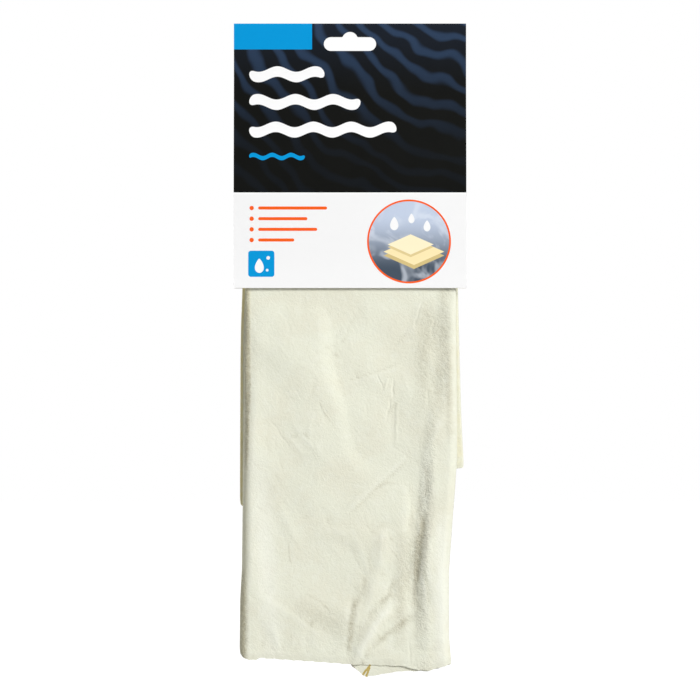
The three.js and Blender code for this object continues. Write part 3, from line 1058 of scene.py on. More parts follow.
@dataclass
class HeaderCard:
    """One board creased over the top of the hide, with a hanging slot through both panels."""

    board: float = 0.45 * MM
    gap_at_slot: float = 0.8 * MM
    flat_below: float = 20 * MM
    fold_margin: float = 2 * MM
    slot_length: float = 32 * MM
    slot_height: float = 8.5 * MM
    bump_radius: float = 4.8 * MM
    bump_rise: float = 3.2 * MM
    bump_fillet: float = 1.0 * MM
    arc_steps: int = 14
    curl: float = 0.5 * MM
    flare: float = 1.2 * MM
    flare_run: float = 24 * MM
    columns: int = 40
    bend_rows: int = 40
    crease_rows: int = 6
    flat_rows: int = 8
    sharp_above: float = 40
    width: float = field(init=False)
    top: float = field(init=False)
    foot: float = field(init=False)
    reach: float = field(init=False)
    bend_foot: float = field(init=False)
    # Where each face of the board starts in its map, and how large it is drawn there.
    rooms: ClassVar[dict[str, tuple[float, ...]]] = {
        "front": (0.01, 0.01, 4.2), "rear": (0.63, 0.01, 2.5),
        "front_in": (0.63, 0.44, 2.5), "rear_in": (0.01, 0.71, 1.7),
    }
    # The same for the cut edges, which lie in lanes above one another.
    lanes: ClassVar[tuple[float, ...]] = (0.28, 0.72, 0.02)
    lane_scales: ClassVar[Point] = (2.0, 1.5)
    # A face counts as square to an axis when its normal lies along it by more than this share.
    square_on: ClassVar[float] = 0.5

    def __post_init__(self) -> None:
        """Take the card's size from its packed panels."""
        low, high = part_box("card_front_panel")
        self.width = high.x - low.x
        self.top = high.z
        self.foot = low.z
        self.reach = -low.y - self.board / 2
        self.bend_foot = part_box("hide_gripped_fold")[1].z + self.fold_margin

    @property
    def crease_radius(self) -> float:
        """The radius of the board's middle at the crease."""
        return (self.gap_at_slot + self.board) / 2

    @property
    def crease_middle(self) -> float:
        """The height of the crease's centre."""
        return self.top - self.board / 2 - self.crease_radius

    def half_profile(self) -> list[Point]:
        """Follow one panel from the middle of the crease to its foot.

        Returns:
            Points as distance from the mid-plane and height.
        """
        radius, middle = self.crease_radius, self.crease_middle
        turns = [math.pi / 2 * i / self.crease_rows for i in range(self.crease_rows)]
        line = [(radius * math.sin(turn), middle + radius * math.cos(turn)) for turn in turns]
        heights = np.linspace(middle, -self.flat_below, self.flat_rows, endpoint=False)
        line += [(radius, float(z)) for z in heights]
        shares = np.linspace(0, 1, self.bend_rows, endpoint=False)
        for share, ease in zip(shares, smooth(shares, 0, 1)):
            out = radius + (self.reach - radius) * float(ease)
            fall = (self.bend_foot + self.flat_below) * float(share)
            line.append((out, fall - self.flat_below))
        heights = np.linspace(self.bend_foot, self.foot, self.flat_rows)
        return line + [(self.reach, float(z)) for z in heights]

    def slot_outline(self) -> list[Point]:
        """Draw the slot: a stadium with a filleted bump in its upper side.

        Returns:
            Points across and up the card.
        """
        end = self.slot_height / 2
        reach = self.slot_length / 2 - end
        middle = -self.bump_rise - end
        rise = self.bump_radius - self.bump_rise + self.bump_fillet
        fillet_x = math.sqrt((self.bump_radius + self.bump_fillet) ** 2 - rise ** 2)
        fillet_z = self.bump_fillet - self.bump_rise
        tilt = math.atan2(rise, fillet_x)
        quarter = math.pi / 2
        arcs = (
            (reach, middle, end, -quarter, quarter),
            (fillet_x, fillet_z, self.bump_fillet, -quarter, tilt - math.pi),
            (0, -self.bump_radius, self.bump_radius, tilt, math.pi - tilt),
            (-fillet_x, fillet_z, self.bump_fillet, -tilt, -quarter),
            (-reach, middle, end, quarter, 3 * quarter),
        )
        points = []
        for x, z, radius, start, stop in arcs:
            turns = [start + (stop - start) * i / self.arc_steps for i in range(self.arc_steps + 1)]
            points += [(x + radius * math.cos(a), z + radius * math.sin(a)) for a in turns]
        return points

    def punch(self) -> Piece:
        """Make the tool that cuts the slot.

        Returns:
            The cutter.
        """
        depth = 4 * self.reach
        form = extruded([(x, -depth / 2, z) for x, z in self.slot_outline()], (0, depth, 0))
        bmesh.ops.recalc_face_normals(form, faces=form.faces)
        for face in form.faces:
            face.material_index = Side.INSIDE.value
        return add_piece("slot_punch", mesh_of(form, "slot_punch"), ())

    def sheet(self) -> Mesh:
        """Fold the board's middle surface from a flat grid.

        Returns:
            The mesh, with its front and its rear half in slots of their own.
        """
        half = self.half_profile()
        line = [(-out, z) for out, z in reversed(half)] + half[1:]
        last = len(line) - 1
        form = bmesh.new()
        bmesh.ops.create_grid(form, x_segments=self.columns, y_segments=last, size=0.5)
        for vertex in form.verts:
            y, z = line[round((vertex.co.y + 0.5) * last)]
            side = 2 * vertex.co.x
            low = max(0.0, (self.bend_foot - z) / (self.bend_foot - self.foot))
            out = self.curl * low * low * abs(side) ** 3
            if y < 0:
                out += self.flare * max(0.0, 1 - (z - self.foot) / self.flare_run) ** 2
            vertex.co = Vector((side * self.width / 2, y + math.copysign(out, y), z))
        for face in form.faces:
            slot = Side.FRONT if face.calc_center_median().y < 0 else Side.REAR
            face.material_index = slot.value
        bmesh.ops.recalc_face_normals(form, faces=form.faces)
        front = next(face for face in form.faces if face.material_index == Side.FRONT.value
                     and face.calc_center_median().z < self.bend_foot)
        if front.normal.y > 0:
            bmesh.ops.reverse_faces(form, faces=form.faces)
        return mesh_of(form, "header_card")

    def room_of(self, face: bpy.types.MeshPolygon) -> str:
        """Name the room of the map that a face belongs to.

        Args:
            face: A face of the finished card.

        Returns:
            The room's name, or nothing for a cut edge.
        """
        front = face.center.y < 0
        if face.material_index < Side.INSIDE.value:
            return "front" if front else "rear"
        if abs(face.normal.y) > self.square_on and (face.normal.y > 0) == front:
            return "front_in" if front else "rear_in"
        return ""

    def lay_out(self, mesh: Mesh) -> None:
        """Give the card its own map, with most of the room for the printed front.

        Args:
            mesh: The finished card.
        """
        layer = mesh.uv_layers.new(name="OFBake")
        points = points_of(mesh)
        rise = points[:, 2] - self.crease_middle
        quarter_run = self.crease_radius * math.pi / 2
        turned = np.arctan2(np.abs(points[:, 1]), rise)
        run = np.where(rise > 0, self.crease_radius * turned, quarter_run - rise)
        up = quarter_run + self.crease_middle - self.foot - run
        across = points[:, 0] + self.width / 2
        lane_u, lane_v, lane_pitch = self.lanes
        long_scale, wide_scale = self.lane_scales
        for face in mesh.polygons:
            room = self.room_of(face)
            level = abs(face.normal.z) > self.square_on
            lane = (face.center.y >= 0) + 2 * level + 4 * (face.center.x > 0)
            for corner in face.loop_indices:
                at = mesh.loops[corner].vertex_index
                if room:
                    u, v, scale = self.rooms[room]
                    layer.data[corner].uv = (u + across[at] * scale, v + up[at] * scale)
                    continue
                length = across[at] if level else up[at]
                layer.data[corner].uv = (lane_u + length * long_scale, lane_v + lane_pitch * lane
                                         + abs(points[at, 1]) * wide_scale)

    def build(self) -> Piece:
        """Build and dress the card.

        Returns:
            The card.
        """
        core = BARE_BOARD.make()
        finishes = (FrontPrint().make(), RearPrint().make(), core, core)
        piece = add_piece("header_card", self.sheet(), finishes)
        wall = piece.modifiers.new("wall", "SOLIDIFY")
        wall.thickness = self.board
        wall.offset = 0
        wall.material_offset = wall.material_offset_rim = Side.INSIDE.value
        punch = self.punch()
        slot = piece.modifiers.new("slot", "BOOLEAN")
        slot.operation = "DIFFERENCE"
        slot.object = punch
        slot.solver = "EXACT"
        settle(piece)
        bpy.data.objects.remove(punch)
        soften(piece.data, self.sharp_above)
        keep_rest(piece.data)
        self.lay_out(piece.data)
        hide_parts("card_front_panel", "card_rear_panel")
        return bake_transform(piece)


class Form(Enum):
    """How a crease stands across its line."""

    ROUND = "round"
    STEP = "step"


@dataclass(frozen=True)
class Crease:
    """A crease, ridge or step in the hide, in millimetres on the front of the part."""

    route: tuple[Point, ...]
    height: float
    width: float
    taper: float
    form: Form = Form.ROUND
    reach: float = 0.0

    def lift(self, x: Array, z: Array) -> Array:
        """Work out how far the crease lifts the leather.

        Args:
            x, z: Places on the leaf.

        Returns:
            The lift there.
        """
        lengths = [math.dist(a, b) for a, b in zip(self.route, self.route[1:])]
        nearest = np.full(x.shape, np.inf)
        side = np.zeros(x.shape)
        share = np.zeros(x.shape)
        done = 0.0
        for (ax, az), (bx, bz), length in zip(self.route, self.route[1:], lengths):
            dx, dz = (bx - ax) / length, (bz - az) / length
            run = np.clip((x - ax) * dx + (z - az) * dz, 0, length)
            away = np.hypot(x - ax - run * dx, z - az - run * dz)
            closer = away < nearest
            nearest = np.where(closer, away, nearest)
            side = np.where(closer, (x - ax) * dz - (z - az) * dx, side)
            share = np.where(closer, (done + run) / sum(lengths), share)
            done += length
        ends = smooth(share, 0, self.taper) * smooth(1 - share, 0, self.taper)
        if self.form is Form.ROUND:
            shape = np.exp(-(nearest / self.width) ** 2)
        else:
            signed = np.sign(side) * nearest
            fall = np.exp(-(np.maximum(signed, 0) / (self.reach * self.width)) ** 2)
            shape = smooth(signed, -self.width, self.width) * fall
        return self.height * ends * shape


def ridge(height: float, width: float, taper: float, *route: Point) -> Crease:
    """Describe a round ridge, or a groove where its height is below 0."""
    return Crease(route, height, width, taper)


def step(height: float, width: float, taper: float, reach: float, *route: Point) -> Crease:
    """Describe a step, which falls off again over its reach, counted in its widths."""
    return Crease(route, height, width, taper, Form.STEP, reach)


FRONT_CREASES = (
    step(0.96, 5.8, 0.28, 9, (-17.1, -152), (-12.8, -201.3), (-4.9, -231.8), (0.6, -256),
         (15.4, -280)),
    step(0.3, 1.5, 0.2, 4, (37.2, -258.6), (16, -277.5), (-4.3, -297.1)),
    step(1, 6, 0.2, 2, (46.5, -268), (48.4, -250), (52.6, -230), (56, -208), (57.4, -188),
         (56, -154)),
    ridge(0.6, 7, 0.3, (-61, -384), (-60.5, -330), (-61, -268), (-60, -196)),
    step(1, 13, 0.3, 1.5, (-16, -396), (-9, -372), (0, -344)),
    step(1.16, 5.2, 0.27, 3, (46.5, -392), (43.4, -372), (44.4, -352), (43.6, -336), (43.8, -322),
         (45.2, -306), (46.8, -290), (47, -272), (47, -258), (49.4, -242)),
    step(0.62, 5, 0.34, 3, (43.9, -358), (43.6, -336), (43.8, -322), (45.6, -298)),
    ridge(-0.8, 5, 0.25, (38.6, -372), (39, -352), (37.6, -334), (37.4, -318), (39.6, -302),
          (41.6, -286), (42.6, -266)),
    ridge(-0.7, 2, 0.25, (45.2, -292), (44, -305), (42, -318), (40.4, -329), (42, -340)),
    ridge(0.24, 1.7, 0.3, (40.2, -292), (43.6, -310), (39.8, -326), (36.4, -340)),
    ridge(-0.34, 1.8, 0.3, (45, -327), (47.4, -340), (48.6, -354)),
    ridge(-0.3, 2, 0.3, (46, -262), (46.8, -276), (45.6, -288)),
    ridge(-0.2, 2.6, 0.3, (36.4, -268), (37.6, -292), (35, -312)),
    ridge(1.15, 4, 0.3, (0.5, -392), (7, -376), (15, -362), (30, -345)),
    ridge(-0.6, 3.4, 0.3, (12.6, -378), (22, -368.5), (31.1, -362), (41, -354)),
    step(0.34, 3, 0.25, 4, (-59.8, -337), (-42, -350), (-24, -362), (-6.7, -372)),
    step(-0.32, 2.2, 0.25, 5, (-0.8, -300.7), (3.2, -314.8), (9.3, -329.2), (11.4, -343.4),
         (10, -354)),
    ridge(0.22, 3, 0.4, (-28, -313), (-14, -304), (-3, -307), (7, -318)),
    ridge(-0.2, 2.4, 0.35, (12.8, -306), (12.2, -328), (6.8, -344), (-3, -363)),
    ridge(0.18, 3, 0.35, (18, -314), (16.6, -332), (12, -347), (4, -362)),
    ridge(0.26, 3.4, 0.4, (-49.6, -280.3), (-38.5, -298.7), (-30, -318)),
    ridge(0.13, 1.3, 0.35, (-37.4, -235.5), (-29, -247), (-18, -259)),
    ridge(0.09, 1.2, 0.35, (-42.6, -240.5), (-26, -261)),
    step(0.16, 1.1, 0.2, 4, (-4.9, -215.3), (15, -209.5), (33.6, -203.1)),
    ridge(-0.25, 4.4, 0.4, (56, -198), (53, -214), (54, -234)),
    ridge(-0.35, 4.4, 0.4, (56, -222), (51, -240), (48, -256)),
    ridge(0.22, 3, 0.3, (44, -160), (37, -190)),
    ridge(-0.16, 3.4, 0.3, (30, -204), (26, -232), (27, -262)),
    ridge(-0.32, 5, 0.5, (-50, -172), (-46, -200)),
    ridge(-0.34, 2.6, 0.35, (3.6, -336), (1.6, -356), (-1.6, -386)),
    ridge(-0.16, 2.2, 0.35, (8.6, -345), (6.4, -358), (3.4, -372)),
    ridge(0.22, 2.2, 0.35, (-47.6, -360), (-44, -374), (-41.5, -388)),
    ridge(0.18, 2, 0.35, (-32.5, -366), (-37, -377), (-40.7, -388)),
    ridge(-0.22, 2.8, 0.35, (-58, -352), (-52, -370), (-54, -388)),
    ridge(-0.2, 2.6, 0.35, (-20, -352), (-26, -368), (-24, -388)),
    ridge(0.6, 4.6, 0.3, (19.5, -300), (20.5, -316), (17.5, -332)),
    ridge(-0.4, 2.6, 0.3, (28, -330), (24, -344), (15, -352)),
    step(0.35, 2.4, 0.3, 4, (58, -232), (44, -268)),
)
REAR_CREASES = (
    ridge(-0.8, 8, 0.3, (-36, -172), (-24, -225), (-32, -284)),
    step(0.8, 7, 0.3, 3, (10, -165), (20, -215), (22, -268)),
    ridge(-0.7, 6.5, 0.35, (48, -184), (38, -225), (42, -262)),
    step(0.3, 2.6, 0.4, 5, (-60, -196), (-50, -214), (-44, -240), (-46, -262)),
    ridge(0.22, 1.9, 0.45, (-14, -182), (-6, -204), (6, -224), (10, -246)),
    ridge(-0.2, 2.2, 0.45, (27, -172), (31, -190), (33, -214)),
    ridge(-0.12, 3, 0.45, (-18, -248), (0, -256), (20, -268)),
    ridge(0.3, 4, 0.4, (58, -176), (54, -206), (57, -240)),
    step(0.18, 2.6, 0.4, 5, (-8, -164), (-12, -190), (-22, -214)),
)
FLAP_CREASES = (
    ridge(0.9, 6, 0.3, (-44, -296), (-30, -340), (-38, -380)),
    ridge(-0.5, 5, 0.3, (0, -300), (10, -345), (2, -382)),
    step(0.8, 5, 0.3, 4, (30, -302), (38, -350)),
    ridge(0.24, 2.4, 0.45, (-22, -324), (-6, -346), (14, -370)),
    ridge(0.24, 2.6, 0.45, (48, -322), (38, -350), (22, -374)),
)


def fine_creases(count: int, seed: int, low: Point, high: Point) -> list[Crease]:
    """Scatter the small random creases of handled suede.

    Args:
        count: How many.
        seed: The seed of their places.
        low, high: The corners of the area they lie in.

    Returns:
        The creases.
    """
    draw = np.random.default_rng(seed)
    down, up, down_share = (-1.15, 0.55), (1.0, 0.4), 0.7
    lengths, bows, heights, widths, taper = (14, 46), (0, 0.07), (0.03, 0.1), (0.8, 1.9), 0.45
    made = []
    for _ in range(count):
        x, z = draw.uniform(low[0], high[0]), draw.uniform(low[1], high[1])
        turn = draw.normal(*(down if draw.random() < down_share else up))
        cosine, sine = math.cos(turn), math.sin(turn)
        length = draw.uniform(*lengths)
        bow = draw.normal(*bows) * length
        ends = [(x + s * length / 2 * cosine, z + s * length / 2 * sine) for s in (-1, 1)]
        middle = (x - bow * sine, z + bow * cosine)
        height = draw.uniform(*heights) * draw.choice((-1, 1))
        made.append(ridge(height, draw.uniform(*widths), taper, ends[0], middle, ends[1]))
    return made


def undulation(x: Array, z: Array, seed: int) -> Array:
    """Add the slow unevenness of a skin that never lies quite flat.

    Args:
        x, z: Places on the leaf in millimetres.
        seed: The seed of its waves.

    Returns:
        The lift there in millimetres.
    """
    draw = np.random.default_rng(seed)
    shortest, longest, height, waves = 26, 80, 0.16, 9
    total = np.zeros(x.shape)
    for _ in range(waves):
        wavelength = draw.uniform(shortest, longest)
        turn = draw.uniform(0, math.tau)
        phase = draw.uniform(0, math.tau)
        across = x * math.cos(turn) + z * math.sin(turn)
        total += wavelength / longest * np.sin(across * math.tau / wavelength + phase)
    return height * total


@dataclass
class Leaf:
    """One hanging leaf of the folded hide: three layers of one skin, folded over at both sides.

    Layer 1 is the outer skin, 2 the near flap and 3 the far flap. The side edges are (height,
    place across) points from the foot up, and the feet are (place across, height) points from the
    left, all in millimetres. A ramp is a pair of values between which an effect comes in.
    """

    name: str
    facing: int
    left: tuple[Point, ...]
    right: tuple[Point, ...]
    skin_foot: tuple[Point, ...]
    near_foot: tuple[Point, ...]
    far_foot: tuple[Point, ...]
    creases: tuple[Crease, ...]
    back_creases: tuple[Crease, ...]
    scatter: int
    seed: int
    swell: float
    run_in: float
    left_fade: tuple[Point, ...]
    right_fade: float
    skin_step: float
    near_step: float
    far_step: float
    row_step: float
    wraps: bool
    thickness: float = 1.1
    gap: float = 0.4
    setback: float = 4.0
    inner_clearance: float = 0.6
    grip_rows: int = 10
    wrap_rows: int = 10
    side_steps: int = 8
    edge_share: float = 0.35
    edge_ramp: Point = (-1, 3)
    relief: float = 1.5
    calm_left: Point = (-2, 4)
    calm_right: Point = (-2, 3)
    calm_top: float = 14.0
    near_share: float = 0.4
    near_ramp: Point = (355, 380)
    press: float = 0.85
    press_ramp: Point = (368, 384)
    far_ramp: Point = (298, 320)
    slack: float = 0.2
    lay_on: float = 0.25
    thinned: float = 0.6
    thin_run: float = 4.0
    ragged: tuple[tuple[float, float, float], ...] = (
        (0.16, 0.83, 2.0), (0.08, 1.9, 1.0), (0.05, 3.7, 0.0),
    )
    margin: Point = (4, 6)
    compare: int = 2
    hollow_from: float = 0.02
    hollow_full: float = 0.26
    inner_left: Point = (3, 7)
    inner_right: Point = (3, 6)
    fold_ramp: Point = (4.4, 0.8)
    tight_fold_ramp: Point = (9.0, 4.0)
    tight_fold_share: float = 0.24
    tight_fold_layers: Point = (1.4, 2.0)
    half_pack: float = field(init=False)
    card_foot: float = field(init=False)
    wrap_middle: float = field(init=False)

    def __post_init__(self) -> None:
        """Take the leaf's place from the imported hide."""
        low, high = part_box("hide_gripped_fold")
        self.half_pack = high.y / MM
        self.card_foot = low.z / MM
        self.wrap_middle = (high.z - high.y) / MM

    @property
    def pitch(self) -> float:
        """The distance from one layer's middle to the next."""
        return self.thickness + self.gap

    @property
    def wide(self) -> float:
        """How far the wide fold's ends lie inside its edge."""
        return self.pitch + self.thickness / 2

    @property
    def tight(self) -> float:
        """How far the tight fold's ends lie inside its edge."""
        return (self.pitch + self.thickness) / 2

    @cached_property
    def all_creases(self) -> list[Crease]:
        """The named creases and the scattered ones."""
        side, end = self.margin
        low = (self.left[0][1] + side, min(z for _, z in self.skin_foot) + end)
        high = (self.right[0][1] - side, self.card_foot - end)
        return [*self.creases, *fine_creases(self.scatter, self.seed, low, high)]

    def section(self) -> Array:
        """Follow the folded skin across: far flap, wide fold, outer skin, tight fold, near flap.

        Returns:
            Rows with each column's place across, inset, depth, layer and distance along the skin.
        """
        half = self.thickness / 2
        width = self.right[-1][1] - self.left[-1][1]
        depths = [half, half + self.pitch, half + 2 * self.pitch]
        wide, tight = self.wide, self.tight
        columns: list[tuple[float, float, float, float]] = []

        def flat(ends: Point, inset: Point, depth: float, layer: float, spacing: float) -> None:
            """Add the columns of one flat layer.

            Args:
                ends, inset: Its place across and its inset, each at its start and its end.
                depth, layer: Its depth and its number.
                spacing: The distance from one column to the next.
            """
            for share in np.linspace(0, 1, max(2, round(width / spacing))):
                across, inward = (a + (b - a) * float(share) for a, b in (ends, inset))
                columns.append((across, inward, depth, layer))

        def fold(across: float, inset: float, middle: float, radius: float, turn: float,
                 layers: Point) -> None:
            """Add the columns of one side fold, without its ends.

            Args:
                across, inset, middle: Its place across, its inset and its centre's depth.
                radius, turn: Its radius, and the angle at which it starts.
                layers: The layers that it joins.
            """
            for index in range(1, self.side_steps):
                share = index / self.side_steps
                angle = turn + math.pi * share
                columns.append((across, inset + radius * math.cos(angle),
                                middle + radius * math.sin(angle),
                                layers[0] + (layers[1] - layers[0]) * share))

        flat((1, 0), (-self.setback, wide), depths[2], 3, self.far_step)
        fold(0, wide, depths[1], self.pitch, math.pi / 2, (3, 1))
        flat((0, 1), (wide, -tight), depths[0], 1, self.skin_step)
        fold(1, -tight, (depths[0] + depths[1]) / 2, self.pitch / 2, -math.pi / 2, (1, 2))
        flat((1, 0), (-tight, wide + self.inner_clearance), depths[1], 2, self.near_step)
        across, inset, depth, layer = np.array(columns).T
        run = np.cumsum(np.hypot(np.diff(across * width + inset), np.diff(depth)))
        return np.array([across, inset, depth, layer, [0, *run]])

    def foot(self, x: Array, layer: Array) -> Array:
        """Find the height of the raw lower edge.

        Args:
            x: Places across.
            layer: Which layer each is on.

        Returns:
            The heights.
        """
        skin, near, far = (along(line, x) for line in (self.skin_foot, self.near_foot,
                                                       self.far_foot))
        height = np.where(layer <= 2, skin + (near - skin) * np.clip(layer - 1, 0, 1), far)
        turning = (layer > 1) & (layer < 3) & (x < 0)
        height = np.where(turning, skin + (far - skin) * (layer - 1) / 2, height)
        ragged = sum(high * np.sin(x * rate + layer * shift) for high, rate, shift in self.ragged)
        return height + ragged * (layer == np.round(layer))

    def grid(self) -> tuple[Array, Array]:
        """Place every point of the skin's middle surface.

        Returns:
            The points in millimetres by row and column, and where they lie on the flat skin.
        """
        across, inset, depth, layer, run = self.section()
        radius = self.half_pack - depth
        held = []
        if self.wraps:
            gain = math.pi * self.half_pack / 2 / self.wrap_rows
            held += [(math.pi * (1 - row / self.wrap_rows), self.wrap_middle, gain)
                     for row in range(self.wrap_rows)]
        gain = (self.wrap_middle - self.card_foot) / self.grip_rows
        levels = np.linspace(self.wrap_middle, self.card_foot, self.grip_rows, endpoint=False)
        held += [(0.0, float(level), gain) for level in levels]
        left, right = self.left[-1][1], self.right[-1][1]
        x = left + (right - left) * across + inset
        rows, lengths, length = [], [], 0.0
        for angle, height, gain in held:
            y = self.facing * radius * math.cos(angle)
            rows.append(np.stack([x, y, height + radius * math.sin(angle)], -1))
            lengths.append(np.full(x.shape, length))
            length += gain
        low = float(np.mean([height for _, height in self.skin_foot]))
        left, right = along(self.left, low), along(self.right, low)
        drop = self.card_foot - self.foot(left + (right - left) * across + inset, layer)
        count = round(float(drop.max()) / self.row_step)
        for row in range(count + 1):
            z = self.card_foot - drop * row / count
            left, right = along(self.left, z), along(self.right, z)
            x = left + (right - left) * across + inset
            y = self.facing * (radius + self.proud(x, z, left, right, layer))
            rows.append(np.stack([x, y, z], -1))
            lengths.append(length + drop * row / count)
        run, layer = (np.broadcast_to(line, (len(rows), len(line))) for line in (run, layer))
        return np.array(rows), np.stack([run, np.array(lengths), layer], -1)

    def proud(self, x: Array, z: Array, left: Array, right: Array, layer: Array) -> Array:
        """Work out how far each point of one row stands out from the flat pack.

        Args:
            x, z: The points.
            left, right: The side edges there.
            layer: Which layer each is on.

        Returns:
            How far each stands out, in millimetres.
        """
        turned = (x - left) > (right - x)
        x = np.minimum(x, right - self.tight)
        left_run, right_run, drop = x - left, right - x, self.card_foot - z
        rise = 1 - (1 - np.clip(left_run / along(self.left_fade, z), 0, 1)) ** 2
        fall = self.edge_share * smooth(right_run, *self.edge_ramp)
        fall = fall + (1 - self.edge_share) * smooth(right_run, 0, self.right_fade)
        slow = self.swell * rise * fall * smooth(drop, 0, self.run_in)
        calm = smooth(left_run, *self.calm_left) * smooth(right_run, *self.calm_right)
        calm = calm * smooth(drop, 0, self.calm_top)
        detail = self.lifted(self.all_creases, x, z) + undulation(x, z, self.seed)
        skin = slow + calm * self.relief * detail
        near = self.near_share + (1 - self.near_share) * smooth(-z, *self.near_ramp)
        near = near * slow + self.press * smooth(-z, *self.press_ramp)
        edge = 1 - (z - self.foot(x, np.ones(x.shape))) / self.thin_run
        pared = self.thinned * self.thickness / 2 * np.clip(edge, 0, 1)
        closest = near - self.slack - pared
        spare = skin - closest
        skin = closest + 0.5 * (spare + np.hypot(spare, self.lay_on - self.thinned * pared))
        back = self.lifted(self.back_creases, x, z) + undulation(x, z, self.seed + 1)
        far = -np.maximum(back, 0) * calm * smooth(-z, *self.far_ramp)
        left_fold = far + (skin - far) * np.clip((3 - layer) / 2, 0, 1)
        right_fold = near + (skin - near) * np.clip(2 - layer, 0, 1)
        fold = np.where(turned, right_fold, left_fold)
        return np.select([layer == 1, layer == 2, layer == 3], [skin, near, far], fold)

    def lifted(self, creases: Sequence[Crease], x: Array, z: Array) -> Array:
        """Sum some creases at some places."""
        return sum((crease.lift(x, z) for crease in creases), np.zeros(x.shape))

    def hollows(self, points: Array, layer: Array) -> Array:
        """Find the hollows and ridges of the outer skin, for the suede's painted shade and light.

        Args:
            points: The skin's points by row and column.
            layer: Which layer each is on.

        Returns:
            For each point how hollow, how far raised and how far turned over it is, from 0 to 1.
        """
        proud = self.facing * points[..., 1]
        padded = np.pad(proud, self.compare, mode="edge")
        rows, columns = proud.shape
        steps = range(2 * self.compare + 1)
        around = sum(padded[i:i + rows, j:j + columns] for i in steps for j in steps)
        around = around / len(steps) ** 2
        x = points[..., 0]
        left_run, right_run = x - x.min(1, keepdims=True), x.max(1, keepdims=True) - x
        inner = smooth(left_run, *self.inner_left) * smooth(right_run, *self.inner_right)
        depth = np.where(layer == 1, (around - proud) * inner, 0)
        # The hollows get painted shade in the suede, and the raised ridges a painted highlight.
        hollow, painted_highlight = (np.clip((way * depth - self.hollow_from) / self.hollow_full, 0, 1)
                          for way in (1, -1))
        # These fold masks lead the painted warm bounce light of the suede.
        wide = smooth(left_run, *self.fold_ramp) * (layer < 3)
        tight = self.tight_fold_share * smooth(right_run, *self.tight_fold_ramp)
        turned = np.maximum(wide, tight * smooth(layer, *self.tight_fold_layers))
        return np.stack([hollow, painted_highlight, turned], -1)

    def build(self, suede: Material, raw_edge: Material) -> Piece:
        """Build and dress the leaf.

        Args:
            suede: The skin's finish.
            raw_edge: The finish of its cut edges.

        Returns:
            The leaf.
        """
        points, lie = self.grid()
        last_row, last_column = (count - 1 for count in points.shape[:2])
        form = bmesh.new()
        bmesh.ops.create_grid(form, x_segments=last_column, y_segments=last_row, size=0.5)
        mesh = mesh_of(form, self.name)
        flat = points_of(mesh)
        column = np.rint((flat[:, 0] + 0.5) * last_column).astype(int)
        row = np.rint((flat[:, 1] + 0.5) * last_row).astype(int)
        mesh.vertices.foreach_set("co", (points[row, column] * MM).astype(np.float32).ravel())
        store_vector(mesh, LIE, lie[row, column])
        store_vector(mesh, HOLLOW, self.hollows(points, lie[..., 2])[row, column])
        mesh.polygons.foreach_set("use_smooth", np.ones(len(mesh.polygons), bool))
        mesh.update()
        piece = add_piece(self.name, mesh, (suede, raw_edge))
        self.thin_edge(piece, row, last_row)
        wall = piece.modifiers.new("skin", "SOLIDIFY")
        wall.thickness = self.thickness * MM
        wall.vertex_group = "thickness"
        wall.offset = 0
        wall.material_offset_rim = 1
        settle(piece)
        self.face_out(piece.data)
        keep_rest(piece.data)
        return piece

    def thin_edge(self, piece: Piece, row: Array, last_row: int) -> None:
        """Pare the skin towards its raw lower edge.

        Args:
            piece: The leaf.
            row: The row of each point.
            last_row: The number of the lowest row.
        """
        group = piece.vertex_groups.new(name="thickness")
        for line in range(last_row + 1):
            left = (last_row - line) * self.row_step
            share = 1 - self.thinned * max(0.0, 1 - left / self.thin_run)
            group.add(np.flatnonzero(row == line).tolist(), share, "REPLACE")

    def face_out(self, mesh: Mesh) -> None:
        """Turn the closed skin's faces outwards, and keep its raw edges crisp.

        Args:
            mesh: The closed skin.
        """
        with opened(mesh) as form:
            bmesh.ops.recalc_face_normals(form, faces=form.faces)
            if form.calc_volume(signed=True) < 0:
                bmesh.ops.reverse_faces(form, faces=form.faces)
            for edge in form.edges:
                edge.smooth = len({face.material_index for face in edge.link_faces}) == 1


